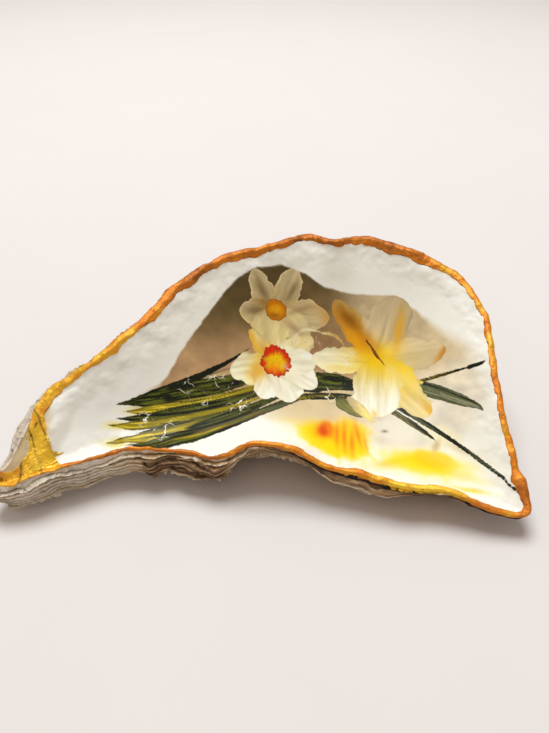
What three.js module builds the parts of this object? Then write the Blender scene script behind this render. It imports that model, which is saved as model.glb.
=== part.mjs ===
// The cupped valve of an oyster, lying with its hollow side up.
//
// Millimetres, +Z up. The shell is one grown solid: a pointed beak with a hinge plate at -X, a
// wide open margin at +X, a high back margin at +Y and a low front margin at -Y. It rests on the
// flat scar under its belly, where it was cemented to a rock. The origin is the middle of its
// footprint, on the surface that it rests on.

import * as THREE from 'three';

// Driving dimensions -----------------------------------------------------------------------

// The margin, walked counter-clockwise seen from above, starting at the +X side. Each station
// gives the top of the lip (x, y, z), the height of the edge face below it, and how far the foot
// of that face stands out.
const MARGIN = [
  { top: [73.5, -7.0, 24.5], edge: 2.0, flare: 0.8 },
  { top: [74.2, 5.5, 29.5], edge: 2.0, flare: 0.8 },
  { top: [74.0, 17.0, 33.5], edge: 2.0, flare: 0.8 },
  { top: [69.0, 30.5, 38.0], edge: 2.0, flare: 0.8 },
  { top: [62.0, 37.0, 40.5], edge: 2.0, flare: 0.8 },
  { top: [54.0, 41.5, 42.5], edge: 2.0, flare: 0.8 },
  { top: [45.0, 45.2, 44.0], edge: 2.0, flare: 0.8 },
  { top: [35.5, 47.6, 45.0], edge: 2.2, flare: 0.8 },
  { top: [25.5, 44.2, 45.5], edge: 2.2, flare: 0.8 },
  { top: [16.5, 47.4, 46.0], edge: 2.2, flare: 0.8 },
  { top: [4.5, 41.8, 45.6], edge: 2.4, flare: 0.8 },
  { top: [-9.0, 37.0, 44.5], edge: 2.6, flare: 0.8 },
  { top: [-20.0, 29.8, 43.0], edge: 2.8, flare: 0.9 },
  { top: [-28.6, 20.2, 41.0], edge: 3.0, flare: 1.0 },
  { top: [-35.4, 9.0, 38.0], edge: 3.2, flare: 1.2 },
  { top: [-42.3, 0.6, 35.5], edge: 3.4, flare: 1.5 },
  { top: [-50.2, -7.2, 32.0], edge: 4.0, flare: 1.8 },
  { top: [-57.0, -11.0, 29.0], edge: 4.6, flare: 2.4 },
  { top: [-63.0, -15.5, 26.0], edge: 5.2, flare: 3.6 },
  { top: [-66.8, -21.5, 22.5], edge: 5.6, flare: 5.5 },
  { top: [-68.8, -28.0, 18.5], edge: 6.0, flare: 6.5 },
  { top: [-72.0, -33.5, 14.5], edge: 6.5, flare: 4.5 },
  { top: [-75.5, -38.2, 11.5], edge: 7.5, flare: 0.6 },
  { top: [-70.0, -39.8, 12.0], edge: 9.0, flare: 0.5 },
  { top: [-61.5, -36.0, 12.5], edge: 9.0, flare: 0.5 },
  { top: [-52.5, -32.4, 12.7], edge: 8.5, flare: 0.6 },
  { top: [-44.0, -28.8, 13.4], edge: 8.0, flare: 0.8 },
  { top: [-33.4, -27.5, 13.6], edge: 7.5, flare: 0.8 },
  { top: [-23.0, -28.3, 13.6], edge: 8.0, flare: 0.8 },
  { top: [-14.5, -30.7, 13.5], edge: 8.0, flare: 0.8 },
  { top: [-8.3, -31.3, 15.0], edge: 5.5, flare: 0.6 },
  { top: [-2.5, -30.0, 17.6], edge: 3.5, flare: 0.5 },
  { top: [5.0, -30.4, 18.0], edge: 3.0, flare: 0.5 },
  { top: [11.5, -31.8, 16.4], edge: 3.2, flare: 0.5 },
  { top: [18.5, -34.6, 14.0], edge: 4.0, flare: 0.5 },
  { top: [28.6, -37.0, 13.0], edge: 4.6, flare: 0.5 },
  { top: [39.5, -40.0, 12.0], edge: 4.4, flare: 0.5 },
  { top: [52.0, -40.8, 11.0], edge: 3.2, flare: 0.5 },
  { top: [59.0, -43.8, 9.5], edge: 2.4, flare: 0.4 },
  { top: [66.5, -46.0, 7.6], edge: 2.0, flare: 0.3 },
  { top: [73.0, -47.2, 7.0], edge: 2.0, flare: 0.3 },
  { top: [76.0, -43.0, 8.6], edge: 2.0, flare: 0.3 },
  { top: [74.3, -31.0, 13.5], edge: 2.0, flare: 0.6 },
  { top: [73.2, -18.5, 20.0], edge: 2.0, flare: 0.8 },
];

const LIP_WIDTH = 1.8; // flat top of the margin, from its inner edge to its outer edge
const LIP_DROP = 0.3; // how much lower the inner edge of that top is than the outer edge
const HUB = new THREE.Vector2(4, 8); // a point of the plan from which the whole margin is in view

// How fast the two faces curve up from their lowest point, in 1/mm, along the shell and across it.
// The belly curves a little more than the hollow, so that the shell is thickest in the middle.
const HOLLOW_SAG = new THREE.Vector2(0.0048, 0.0158);
const BELLY_SAG = new THREE.Vector2(0.0053, 0.0171);

// The hinge plate: a raised shelf inside the beak, bounded by a line across the hollow.
const PLATE = {
  edge: new THREE.Vector2(-62.5, -28), // a point on the plate's edge
  outward: new THREE.Vector2(-0.94, 0.34), // from the hollow towards the beak
  step: 4, // width of the slope from the hollow up to the plate
  corner: new THREE.Vector3(-75.5, -38.2, 10.6), // lowest corner of its top
  slopeY: 0.66, // rise of its top towards the back margin
};

const COLUMNS = 2 * MARGIN.length;
const INNER_RINGS = 15;
const OUTER_RINGS = 13;
const RING_CROWDING = 0.75; // below 1 the rings draw together towards the margin

// The form ---------------------------------------------------------------------------------

const marginTop = new THREE.CatmullRomCurve3(
  MARGIN.map((station) => new THREE.Vector3(...station.top)), true, 'catmullrom', 0.5);
const marginEdge = new THREE.CatmullRomCurve3(
  MARGIN.map((station) => new THREE.Vector3(station.edge, station.flare, 0)), true, 'catmullrom', 0.5);

/** The lip's cross-section at one place on the margin: inner edge, top and foot. */
function lipSection(t) {
  const top = marginTop.getPoint(t);
  const tangent = marginTop.getTangent(t);
  const out = new THREE.Vector3(tangent.y, -tangent.x, 0).normalize();
  const { x: edge, y: flare } = marginEdge.getPoint(t);
  const inner = top.clone().addScaledVector(out, -LIP_WIDTH);
  inner.z -= LIP_DROP;
  const foot = top.clone().addScaledVector(out, flare);
  foot.z -= edge;
  return { inner, top, foot };
}

/** Tangent of half the angle between two plan directions, signed counter-clockwise. */
function halfAngleTangent(from, to) {
  return from.cross(to) / (from.dot(to) + from.length() * to.length());
}

/** Height of a shallow bowl that curves up along both axes. */
function bowlHeight(point, sag) {
  return sag.x * point.x ** 2 + sag.y * point.y ** 2;
}

/** Height at a plan point of a sheet that is hung from a closed rim and sags between its sides. */
function hungHeight(point, rim, sag) {
  const toRim = rim.map((corner) => new THREE.Vector2(corner.x - point.x, corner.y - point.y));
  let weightSum = 0;
  let heightSum = 0;
  rim.forEach((corner, i) => {
    const [before, here, after] = [toRim.at(i - 1), toRim[i], toRim[(i + 1) % toRim.length]];
    const turn = halfAngleTangent(before, here) + halfAngleTangent(here, after);
    const weight = turn / here.length();
    weightSum += weight;
    heightSum += weight * (corner.z - bowlHeight(corner, sag));
  });
  return heightSum / weightSum + bowlHeight(point, sag);
}

/** A ring of the plan between the hub (0) and the rim (1), laid on the sheet hung from that rim. */
function hungRing(rim, fraction, sag) {
  return rim.map((corner) => {
    const point = new THREE.Vector2(corner.x, corner.y).sub(HUB).multiplyScalar(fraction).add(HUB);
    return new THREE.Vector3(point.x, point.y, hungHeight(point, rim, sag));
  });
}

/** Lifts a point of the hollow onto the hinge plate where it lies inside the beak. */
function liftOntoPlate(point) {
  const beyond = new THREE.Vector2(point.x, point.y).sub(PLATE.edge).dot(PLATE.outward);
  const share = THREE.MathUtils.smoothstep(beyond, -PLATE.step, 0);
  const plateHeight = PLATE.corner.z + PLATE.slopeY * (point.y - PLATE.corner.y);
  const lifted = Math.max(point.z, plateHeight);
  point.z = THREE.MathUtils.lerp(point.z, lifted, share);
  return point;
}

/** Cuts a point of the belly off flat at the scar. */
function cutAtScar(point) {
  point.z = Math.max(point.z, 0);
  return point;
}

/** Ring positions between the hub and the rim, both left out. */
function ringFractions(count) {
  return Array.from({ length: count }, (_, i) => ((i + 1) / (count + 1)) ** RING_CROWDING);
}

/** All the rings, from the one nearest the hollow's middle, over the lip, to the belly's middle. */
function shellRings() {
  const sections = Array.from({ length: COLUMNS }, (_, i) => lipSection(i / COLUMNS));
  const [inner, top, foot] = ['inner', 'top', 'foot'].map((part) => sections.map((section) => section[part]));
  const hollow = ringFractions(INNER_RINGS).map(
    (fraction) => hungRing(inner, fraction, HOLLOW_SAG).map(liftOntoPlate));
  const belly = ringFractions(OUTER_RINGS).reverse().map(
    (fraction) => hungRing(foot, fraction, BELLY_SAG).map(cutAtScar));
  return [...hollow, inner, top, foot, ...belly];
}

/** The middle of a ring. */
function ringMiddle(ring) {
  const sum = ring.reduce((total, point) => total.add(point), new THREE.Vector3());
  return sum.divideScalar(ring.length);
}

/** Joins the rings, and a point at each end, into one closed skin that faces outwards. */
function skin(rings, firstPole, lastPole) {
  const points = [firstPole, ...rings.flat(), lastPole];
  const at = (ring, column) => 1 + ring * COLUMNS + (column % COLUMNS);
  const faces = [];
  for (let column = 0; column < COLUMNS; column += 1) {
    faces.push(0, at(0, column), at(0, column + 1));
    for (let ring = 0; ring + 1 < rings.length; ring += 1) {
      const [a, b] = [at(ring, column), at(ring, column + 1)];
      const [c, d] = [at(ring + 1, column), at(ring + 1, column + 1)];
      faces.push(a, c, d, a, d, b);
    }
    faces.push(points.length - 1, at(rings.length - 1, column + 1), at(rings.length - 1, column));
  }
  const geometry = new THREE.BufferGeometry().setFromPoints(points);
  geometry.setIndex(faces);
  return geometry;
}

/** The shell, with the middle of its footprint at the origin. */
function shellGeometry() {
  const rings = shellRings();
  const geometry = skin(rings, ringMiddle(rings.at(0)), ringMiddle(rings.at(-1)));
  geometry.computeBoundingBox();
  const middle = geometry.boundingBox.getCenter(new THREE.Vector3());
  geometry.translate(-middle.x, -middle.y, 0);
  geometry.computeVertexNormals();
  return geometry;
}

// The object -------------------------------------------------------------------------------

const shellMaterial = new THREE.MeshStandardMaterial({ color: 0xe6ded0, roughness: 0.55, metalness: 0 });
const shell = new THREE.Mesh(shellGeometry(), shellMaterial);
shell.name = 'shell';

const oysterShell = new THREE.Group();
oysterShell.name = 'oyster_shell';
oysterShell.add(shell);

export default oysterShell;
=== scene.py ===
"""An oyster's cupped valve, painted white inside, gilded on its lip and printed with narcissi.

The whole shell is one grown piece. Its shape is a rim curve with two sheets hung from it, the
hollow and the belly, and the belly carries thin overlapping growth plates. The white paint with
its varnished paper print and the gold paint are thin films that lie on the shell.
"""
import logging
import math
from dataclasses import dataclass, field
from enum import Enum

import bpy
import numpy as np
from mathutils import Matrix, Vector


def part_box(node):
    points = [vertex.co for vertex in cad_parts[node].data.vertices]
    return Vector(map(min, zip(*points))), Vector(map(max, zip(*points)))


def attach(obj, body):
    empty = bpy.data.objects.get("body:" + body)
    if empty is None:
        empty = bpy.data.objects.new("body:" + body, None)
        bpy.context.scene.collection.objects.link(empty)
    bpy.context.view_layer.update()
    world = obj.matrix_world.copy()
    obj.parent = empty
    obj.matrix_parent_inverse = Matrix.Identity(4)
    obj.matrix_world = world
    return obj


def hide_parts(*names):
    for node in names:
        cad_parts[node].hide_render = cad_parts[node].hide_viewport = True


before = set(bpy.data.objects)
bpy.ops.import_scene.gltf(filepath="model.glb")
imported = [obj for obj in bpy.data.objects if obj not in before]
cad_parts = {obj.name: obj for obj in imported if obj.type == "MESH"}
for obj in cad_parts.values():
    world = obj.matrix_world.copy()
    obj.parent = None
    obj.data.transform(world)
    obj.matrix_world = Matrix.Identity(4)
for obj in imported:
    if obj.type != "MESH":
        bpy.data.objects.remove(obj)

LOG = logging.getLogger("oyster_shell")
Array = np.ndarray
Socket = bpy.types.NodeSocket
Zone = tuple[float, float]
MM = 0.001
UP = np.array([0.0, 0.0, 1.0])
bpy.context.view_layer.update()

# The margin, walked counter-clockwise seen from above: the top of the lip (x, y, z), the height of
# the edge face below it, and how far the foot of that face stands out. Millimetres.
MARGIN = np.array([
    (73.5, -7.0, 24.5, 2.0, 0.8), (74.2, 5.5, 29.5, 2.0, 0.8), (74.0, 17.0, 33.5, 2.0, 0.8),
    (69.0, 30.5, 38.0, 2.0, 0.8), (62.0, 37.0, 40.5, 2.0, 0.8), (54.0, 41.5, 42.5, 2.0, 0.8),
    (45.0, 45.2, 44.0, 2.0, 0.8), (35.5, 47.6, 45.0, 2.2, 0.8), (25.5, 44.2, 45.5, 2.2, 0.8),
    (16.5, 47.4, 46.0, 2.2, 0.8), (4.5, 41.8, 45.6, 2.4, 0.8), (-9.0, 37.0, 44.5, 2.6, 0.8),
    (-20.0, 29.8, 43.0, 2.8, 0.9), (-28.6, 20.2, 41.0, 3.0, 1.0), (-35.4, 9.0, 38.0, 3.2, 1.2),
    (-42.3, 0.6, 35.5, 3.4, 1.5), (-50.2, -7.2, 32.0, 4.0, 1.8), (-57.0, -11.0, 29.0, 4.6, 2.4),
    (-63.0, -15.5, 26.0, 5.2, 3.6), (-66.8, -21.5, 22.5, 5.6, 5.5), (-68.8, -28.0, 18.5, 6.0, 6.5),
    (-72.0, -33.5, 14.5, 6.5, 4.5), (-75.5, -38.2, 11.5, 7.5, 0.6), (-70.0, -39.8, 12.0, 9.0, 0.5),
    (-61.5, -36.0, 12.5, 9.0, 0.5), (-52.5, -32.4, 12.7, 8.5, 0.6), (-44.0, -28.8, 13.4, 8.0, 0.8),
    (-33.4, -27.5, 13.6, 7.5, 0.8), (-23.0, -28.3, 13.6, 8.0, 0.8), (-14.5, -30.7, 13.5, 8.0, 0.8),
    (-8.3, -31.3, 15.0, 5.5, 0.6), (-2.5, -30.0, 17.6, 3.5, 0.5), (5.0, -30.4, 18.0, 3.0, 0.5),
    (11.5, -31.8, 16.4, 3.2, 0.5), (18.5, -34.6, 14.0, 4.0, 0.5), (28.6, -37.0, 13.0, 4.6, 0.5),
    (39.5, -40.0, 12.0, 4.4, 0.5), (52.0, -40.8, 11.0, 3.2, 0.5), (59.0, -43.8, 9.5, 2.4, 0.4),
    (66.5, -46.0, 7.6, 2.0, 0.3), (73.0, -47.2, 7.0, 2.0, 0.3), (76.0, -43.0, 8.6, 2.0, 0.3),
    (74.3, -31.0, 13.5, 2.0, 0.6), (73.2, -18.5, 20.0, 2.0, 0.8),
])
STATIONS = len(MARGIN)
BEAK = np.array([-75.5, -38.2])
CROWN_HEIGHT = 0.22


# Numbers ------------------------------------------------------------------------------------


def linear(red: float, green: float, blue: float) -> tuple[float, float, float]:
    """Turns a display colour (0 to 255) into linear light."""
    return tuple(float(to_linear(np.array(channel / 255.0))) for channel in (red, green, blue))


def to_linear(value: Array) -> Array:
    """Turns display values (0 to 1) into linear light."""
    return np.where(value <= 0.04045, value / 12.92, ((value + 0.055) / 1.055) ** 2.4)


def smoothstep(low: float, high: float, value: Array) -> Array:
    """Rises smoothly from 0 at low to 1 at high."""
    share = np.clip((value - low) / (high - low), 0.0, 1.0)
    return share * share * (3.0 - 2.0 * share)


def lerp(first: Array, second: Array, share: Array) -> Array:
    """Mixes two values."""
    return first + (second - first) * share


def closed_curve(stations: Array, turn: Array) -> Array:
    """A smooth closed curve through stations.

    Args:
        stations: the values to pass through, one row each.
        turn: places on the curve, where 1 is once round.
    Returns:
        One row of values for each place.
    """
    count = len(stations)
    place = (np.asarray(turn) % 1.0) * count
    index = np.floor(place).astype(int) % count
    step = (place - np.floor(place))[:, None]
    before, here = stations[index - 1], stations[index]
    after, beyond = stations[(index + 1) % count], stations[(index + 2) % count]
    cubic = -0.5 * before + 1.5 * here - 1.5 * after + 0.5 * beyond
    square = before - 2.5 * here + 2.0 * after - 0.5 * beyond
    return ((cubic * step + square) * step + 0.5 * (after - before)) * step + here


class Noise:
    """Smooth seeded noise in space, between -1 and 1."""

    SIZE = 48

    def __init__(self, seed: int) -> None:
        """Fills the lattice from a seed."""
        self.lattice = np.random.default_rng(seed).uniform(-1.0, 1.0, (self.SIZE,) * 3)

    def at(self, points: Array, size: float) -> Array:
        """One layer of noise.

        Args:
            points: places, three numbers each.
            size: width of one bump, in the units of the points.
        Returns:
            One value for each point.
        """
        place = points / size
        cell = np.floor(place).astype(int)
        step = place - cell
        step = step * step * (3.0 - 2.0 * step)
        low, high = cell % self.SIZE, (cell + 1) % self.SIZE
        total = np.zeros(points.shape[:-1])
        for corner in range(8):
            side = [(corner >> axis) & 1 for axis in range(3)]
            index = [(high if side[axis] else low)[..., axis] for axis in range(3)]
            weight = np.ones(points.shape[:-1])
            for axis in range(3):
                weight = weight * (step[..., axis] if side[axis] else 1.0 - step[..., axis])
            total += weight * self.lattice[tuple(index)]
        return total

    def layered(self, points: Array, size: float, layers: int = 4) -> Array:
        """Several layers of noise, each half the size and half the strength of the last."""
        total = np.zeros(points.shape[:-1])
        for layer in range(layers):
            shifted = points + 7.31 * (layer + 1) * size
            total += self.at(shifted, size / 2**layer) / 2**layer
        return total / 1.5


# The shell's form ---------------------------------------------------------------------------


@dataclass
class LipSection:
    """The lip's cross-section at many places on the margin (millimetres)."""

    inner: Array
    top: Array
    foot: Array
    out: Array
    edge: Array


@dataclass
class ShellForm:
    """The margin and the two sheets hung from it, in the CAD frame (millimetres)."""

    lip_width: float = 1.8
    lip_drop: float = 0.3
    hub: tuple[float, float] = (4.0, 8.0)
    hollow_sag: tuple[float, float] = (0.0048, 0.0158)
    belly_sag: tuple[float, float] = (0.0053, 0.0171)
    plate_edge: tuple[float, float] = (-62.5, -28.0)
    plate_outward: tuple[float, float] = (-0.94, 0.34)
    plate_step: float = 4.0
    plate_corner: tuple[float, float] = (-38.2, 10.6)
    plate_slope: float = 0.66
    rim_samples: int = 4 * STATIONS
    ripple: float = 0.75
    ripple_reach: float = 9.0
    undulation: float = 0.16
    tangent_step: float = 1e-4
    # How far the sheets may stray from the nearest rim's height: at the rim, and per millimetre inward.
    rim_leeway: tuple[float, float] = (1.0, 4.0)
    noise: Noise = field(default_factory=lambda: Noise(41))
    shift: Array = field(init=False)
    rims: dict = field(init=False)

    def __post_init__(self) -> None:
        """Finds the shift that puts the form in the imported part's box, and the two hanging rims."""
        low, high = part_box("shell")
        self.shift = np.zeros(2)
        foot = self.lip(np.arange(2 * STATIONS) / (2 * STATIONS)).foot
        top = self.lip(np.arange(2 * STATIONS) / (2 * STATIONS)).top
        reach = np.vstack([foot, top])[:, :2]
        own_middle = (reach.min(0) + reach.max(0)) / 2
        cad_middle = np.array([(low.x + high.x) / 2, (low.y + high.y) / 2]) / MM
        self.shift = cad_middle - own_middle
        around = self.lip(np.arange(self.rim_samples) / self.rim_samples)
        self.rims = {"hollow": around.inner, "belly": around.foot}

    def lip(self, turn: Array) -> LipSection:
        """The lip's cross-section.

        Args:
            turn: places on the margin, where 1 is once round.
        Returns:
            The inner edge, top and foot of the lip, its outward direction and its edge's height.
        """
        here = closed_curve(MARGIN, turn)
        step = self.tangent_step
        along = closed_curve(MARGIN, turn + step)[:, :2] - closed_curve(MARGIN, turn - step)[:, :2]
        out = np.stack([along[:, 1], -along[:, 0]], -1)
        out /= np.linalg.norm(out, axis=1)[:, None]
        plan = here[:, :2] + self.shift
        inner = np.column_stack([plan - out * self.lip_width, here[:, 2] - self.lip_drop])
        foot = np.column_stack([plan + out * here[:, 4:5], here[:, 2] - here[:, 3]])
        return LipSection(inner, np.column_stack([plan, here[:, 2]]), foot, out, here[:, 3])

    def hung_height(self, plan: Array, rim_name: str, sag: tuple[float, float]) -> Array:
        """Height of a sheet that hangs from a rim and sags between its sides.

        Args:
            plan: places in the plan, two numbers each.
            rim_name: which rim the sheet hangs from, hollow or belly.
            sag: how fast the sheet curves up along x and along y.
        Returns:
            One height for each place.
        """
        rim = self.rims[rim_name]
        bowl = sag[0] * (rim[:, 0] - self.shift[0]) ** 2 + sag[1] * (rim[:, 1] - self.shift[1]) ** 2
        heights = []
        for part in np.array_split(plan, max(1, len(plan) // 4000)):
            to_rim = rim[None, :, :2] - part[:, None, :]
            length = np.linalg.norm(to_rim, axis=2)
            after, after_length = np.roll(to_rim, -1, 1), np.roll(length, -1, 1)
            cross = to_rim[..., 0] * after[..., 1] - to_rim[..., 1] * after[..., 0]
            turn = cross / ((to_rim * after).sum(2) + length * after_length)
            weight = (turn + np.roll(turn, 1, 1)) / length
            flat = (weight * (rim[:, 2] - bowl)).sum(1) / weight.sum(1)
            closest = length.argmin(1)
            rim_flat = (rim[:, 2] - bowl)[closest]
            leeway = self.rim_leeway[0] + self.rim_leeway[1] * length.min(1)
            flat = np.clip(flat, rim_flat - leeway, rim_flat + leeway)
            local = part - self.shift
            heights.append(flat + sag[0] * local[:, 0] ** 2 + sag[1] * local[:, 1] ** 2)
        return np.concatenate(heights)

    def hollow_height(self, plan: Array) -> Array:
        """Height of the hollow's surface, with the hinge plate raised inside the beak."""
        height = self.hung_height(plan, "hollow", self.hollow_sag)
        local = plan - self.shift
        share = smoothstep(-self.plate_step, 0.0, self.beyond_plate_edge(plan))
        plate = self.plate_corner[1] + self.plate_slope * (local[:, 1] - self.plate_corner[0])
        unevenness = self.noise.layered(np.column_stack([plan, 0.0 * height]), 16.0, 2)
        return lerp(height, np.maximum(height, plate), share) + self.undulation * unevenness

    def rippled(self, points: Array) -> Array:
        """Points shaken a little near the margin, where the shell grew unevenly."""
        flat = points.reshape(-1, 3)
        rim = self.rims["hollow"][:, :2]
        gap = np.concatenate([np.sqrt(((part[:, None, :2] - rim[None]) ** 2).sum(2).min(1))
                              for part in np.array_split(flat, len(flat) // 8000 + 1)])
        share = self.ripple * smoothstep(self.ripple_reach, 1.5, gap)
        shake = np.stack([self.noise.layered(flat + offset, 5.2, 3) for offset in (0.0, 50.0, 100.0)], -1)
        return (flat + share[:, None] * shake).reshape(points.shape)

    def beyond_plate_edge(self, plan: Array) -> Array:
        """How far a place lies past the hinge plate's edge, towards the beak."""
        return (plan - self.shift - np.array(self.plate_edge)) @ np.array(self.plate_outward)

    def belly_height(self, plan: Array) -> Array:
        """Height of the belly's surface, cut off flat at the scar."""
        return np.maximum(self.hung_height(plan, "belly", self.belly_sag), 0.0)


# Meshes -------------------------------------------------------------------------------------


@dataclass
class Grid:
    """A patch of surface as rows and columns of points, with what is painted on it."""

    points: Array
    closed: bool = False
    floats: dict = field(default_factory=dict)
    vectors: dict = field(default_factory=dict)
    colours: dict = field(default_factory=dict)

    def normals(self) -> Array:
        """Unit normals at the points, from their neighbours in the grid."""
        if self.closed:
            along = np.roll(self.points, -1, 1) - np.roll(self.points, 1, 1)
        else:
            along = np.gradient(self.points, axis=1)
        across = np.gradient(self.points, axis=0)
        normal = np.cross(across, along)
        return normal / (np.linalg.norm(normal, axis=2)[..., None] + 1e-12)

    def cells(self) -> Array:
        """Row and column of the first corner of every quad."""
        rows, columns = self.points.shape[:2]
        last = columns if self.closed else columns - 1
        return np.stack(np.meshgrid(np.arange(rows - 1), np.arange(last), indexing="ij"), -1).reshape(-1, 2)

    def corners(self, cells: Array) -> Array:
        """Row and column of the four corners of each cell, the last column left unwrapped."""
        around = np.array([(0, 0), (1, 0), (1, 1), (0, 1)])
        return cells[:, None, :] + around[None, :, :]

    def quads(self, cells: Array) -> Array:
        """Point numbers of the four corners of each cell."""
        columns = self.points.shape[1]
        corners = self.corners(cells)
        return corners[..., 0] * columns + corners[..., 1] % columns


def build_object(name: str, grid: Grid, cells: Array, uv: Array, caps: tuple = ()) -> bpy.types.Object:
    """Makes a mesh object from a grid.

    Args:
        name: the piece's name.
        grid: the points in millimetres and what is painted on them.
        cells: which quads to keep.
        uv: place on the baked map of every corner of those quads.
        caps: rows of the grid that are closed with one flat face, and whether to turn it round.
    Returns:
        The new object, linked to the scene.
    """
    faces = grid.quads(cells)
    rows, columns = grid.points.shape[:2]
    used = np.zeros(rows * columns, bool)
    used[faces.ravel()] = True
    renumber = np.cumsum(used) - 1
    polygons = renumber[faces].tolist()
    for row, turned in caps:
        ring = renumber[np.arange(columns) + row * columns]
        polygons.append((ring[::-1] if turned else ring).tolist())
    mesh = bpy.data.meshes.new(name)
    mesh.from_pydata((grid.points.reshape(-1, 3)[used] * MM).tolist(), [], polygons)
    for key, values in grid.floats.items():
        layer = mesh.attributes.new(key, "FLOAT", "POINT")
        layer.data.foreach_set("value", values.reshape(-1)[used].astype(np.float32))
    for key, values in grid.vectors.items():
        layer = mesh.attributes.new(key, "FLOAT_VECTOR", "POINT")
        layer.data.foreach_set("vector", values.reshape(-1, 3)[used].astype(np.float32).ravel())
    for key, values in grid.colours.items():
        layer = mesh.attributes.new(key, "FLOAT_COLOR", "POINT")
        opaque = np.ones((used.sum(), 4), np.float32)
        opaque[:, :3] = to_linear(np.clip(values.reshape(-1, 3)[used], 0.0, 1.0))
        layer.data.foreach_set("color", opaque.ravel())
    layer = mesh.uv_layers.new(name="OFBake")
    flat = np.zeros((len(mesh.loops), 2), np.float32)
    flat[: uv.shape[0] * 4] = uv.reshape(-1, 2)
    layer.data.foreach_set("uv", flat.ravel())
    mesh.polygons.foreach_set("use_smooth", np.ones(len(mesh.polygons), bool))
    mesh.update()
    piece = bpy.data.objects.new(name, mesh)
    bpy.context.scene.collection.objects.link(piece)
    return piece


# Node building ------------------------------------------------------------------------------


class Wiring:
    """Short ways to add and join nodes in one node tree."""

    def __init__(self, tree: bpy.types.NodeTree) -> None:
        """Works on the given tree."""
        self.tree = tree

    def add(self, kind: str, inputs: dict | None = None, **settings) -> bpy.types.Node:
        """Adds a node.

        Args:
            kind: the node's type name.
            inputs: socket name or number to a value or to the socket that feeds it.
            settings: the node's own settings.
        Returns:
            The new node.
        """
        node = self.tree.nodes.new(kind)
        for key, value in settings.items():
            setattr(node, key, value)
        for key, value in (inputs or {}).items():
            self.feed(node.inputs[key], value)
        return node

    def feed(self, socket: Socket, value: object) -> None:
        """Links a socket to another, or sets its value."""
        if isinstance(value, Socket):
            self.tree.links.new(value, socket)
        elif isinstance(value, tuple) and socket.type == "RGBA" and len(value) == 3:
            socket.default_value = (*value, 1.0)
        else:
            socket.default_value = value

    def math(self, operation: str, first: object, second: object = 0.0) -> Socket:
        """One sum on numbers."""
        node = self.add("ShaderNodeMath", {0: first, 1: second}, operation=operation)
        return node.outputs[0]

    def plus(self, first: object, second: object) -> Socket:
        """Adds two numbers."""
        return self.math("ADD", first, second)

    def minus(self, first: object, second: object) -> Socket:
        """Takes the second number from the first."""
        return self.math("SUBTRACT", first, second)

    def times(self, first: object, second: object) -> Socket:
        """Multiplies two numbers."""
        return self.math("MULTIPLY", first, second)

    def mix(self, share: object, first: object, second: object) -> Socket:
        """Mixes two colours."""
        node = self.add("ShaderNodeMix", data_type="RGBA")
        self.feed(node.inputs[0], share)
        self.feed(node.inputs[6], first)
        self.feed(node.inputs[7], second)
        return node.outputs[2]

    def ramp(self, value: object, *stops: tuple) -> Socket:
        """Colours a value by stops of (place, colour)."""
        node = self.add("ShaderNodeValToRGB", {0: value})
        stripe = node.color_ramp
        while len(stripe.elements) < len(stops):
            stripe.elements.new(1.0)
        for element, (place, colour) in zip(stripe.elements, stops):
            element.position = place
            element.color = (*colour, 1.0)
        return node.outputs[0]

    def span(self, value: object, low: float, high: float, start: float = 0.0, end: float = 1.0) -> Socket:
        """Maps a value from one range to another, smoothly and clamped."""
        node = self.add("ShaderNodeMapRange", {0: value, 1: low, 2: high, 3: start, 4: end},
                        interpolation_type="SMOOTHSTEP")
        return node.outputs[0]

    def attribute(self, name: str, output: str = "Fac") -> Socket:
        """Reads what is painted on the mesh."""
        return self.add("ShaderNodeAttribute", attribute_name=name).outputs[output]

    def noise(self, vector: object, scale: float, detail: float = 4.0, rough: float = 0.55) -> Socket:
        """Fractal noise."""
        node = self.add("ShaderNodeTexNoise", {"Vector": vector, "Scale": scale, "Detail": detail,
                                               "Roughness": rough})
        return node.outputs["Fac"]

    def place(self) -> Socket:
        """The point on the object, in metres."""
        return self.add("ShaderNodeTexCoord").outputs["Object"]

    def group(self, tree: bpy.types.NodeTree, inputs: dict) -> bpy.types.Node:
        """Places a shared effect."""
        node = self.add("ShaderNodeGroup", node_tree=tree)
        for key, value in inputs.items():
            self.feed(node.inputs[key], value)
        return node


class Effect(Enum):
    """The shared effects, each a node group with its own name."""

    MOTTLE = "mottle"
    STREAKS = "streaks"
    SPECKS = "specks"


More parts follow.
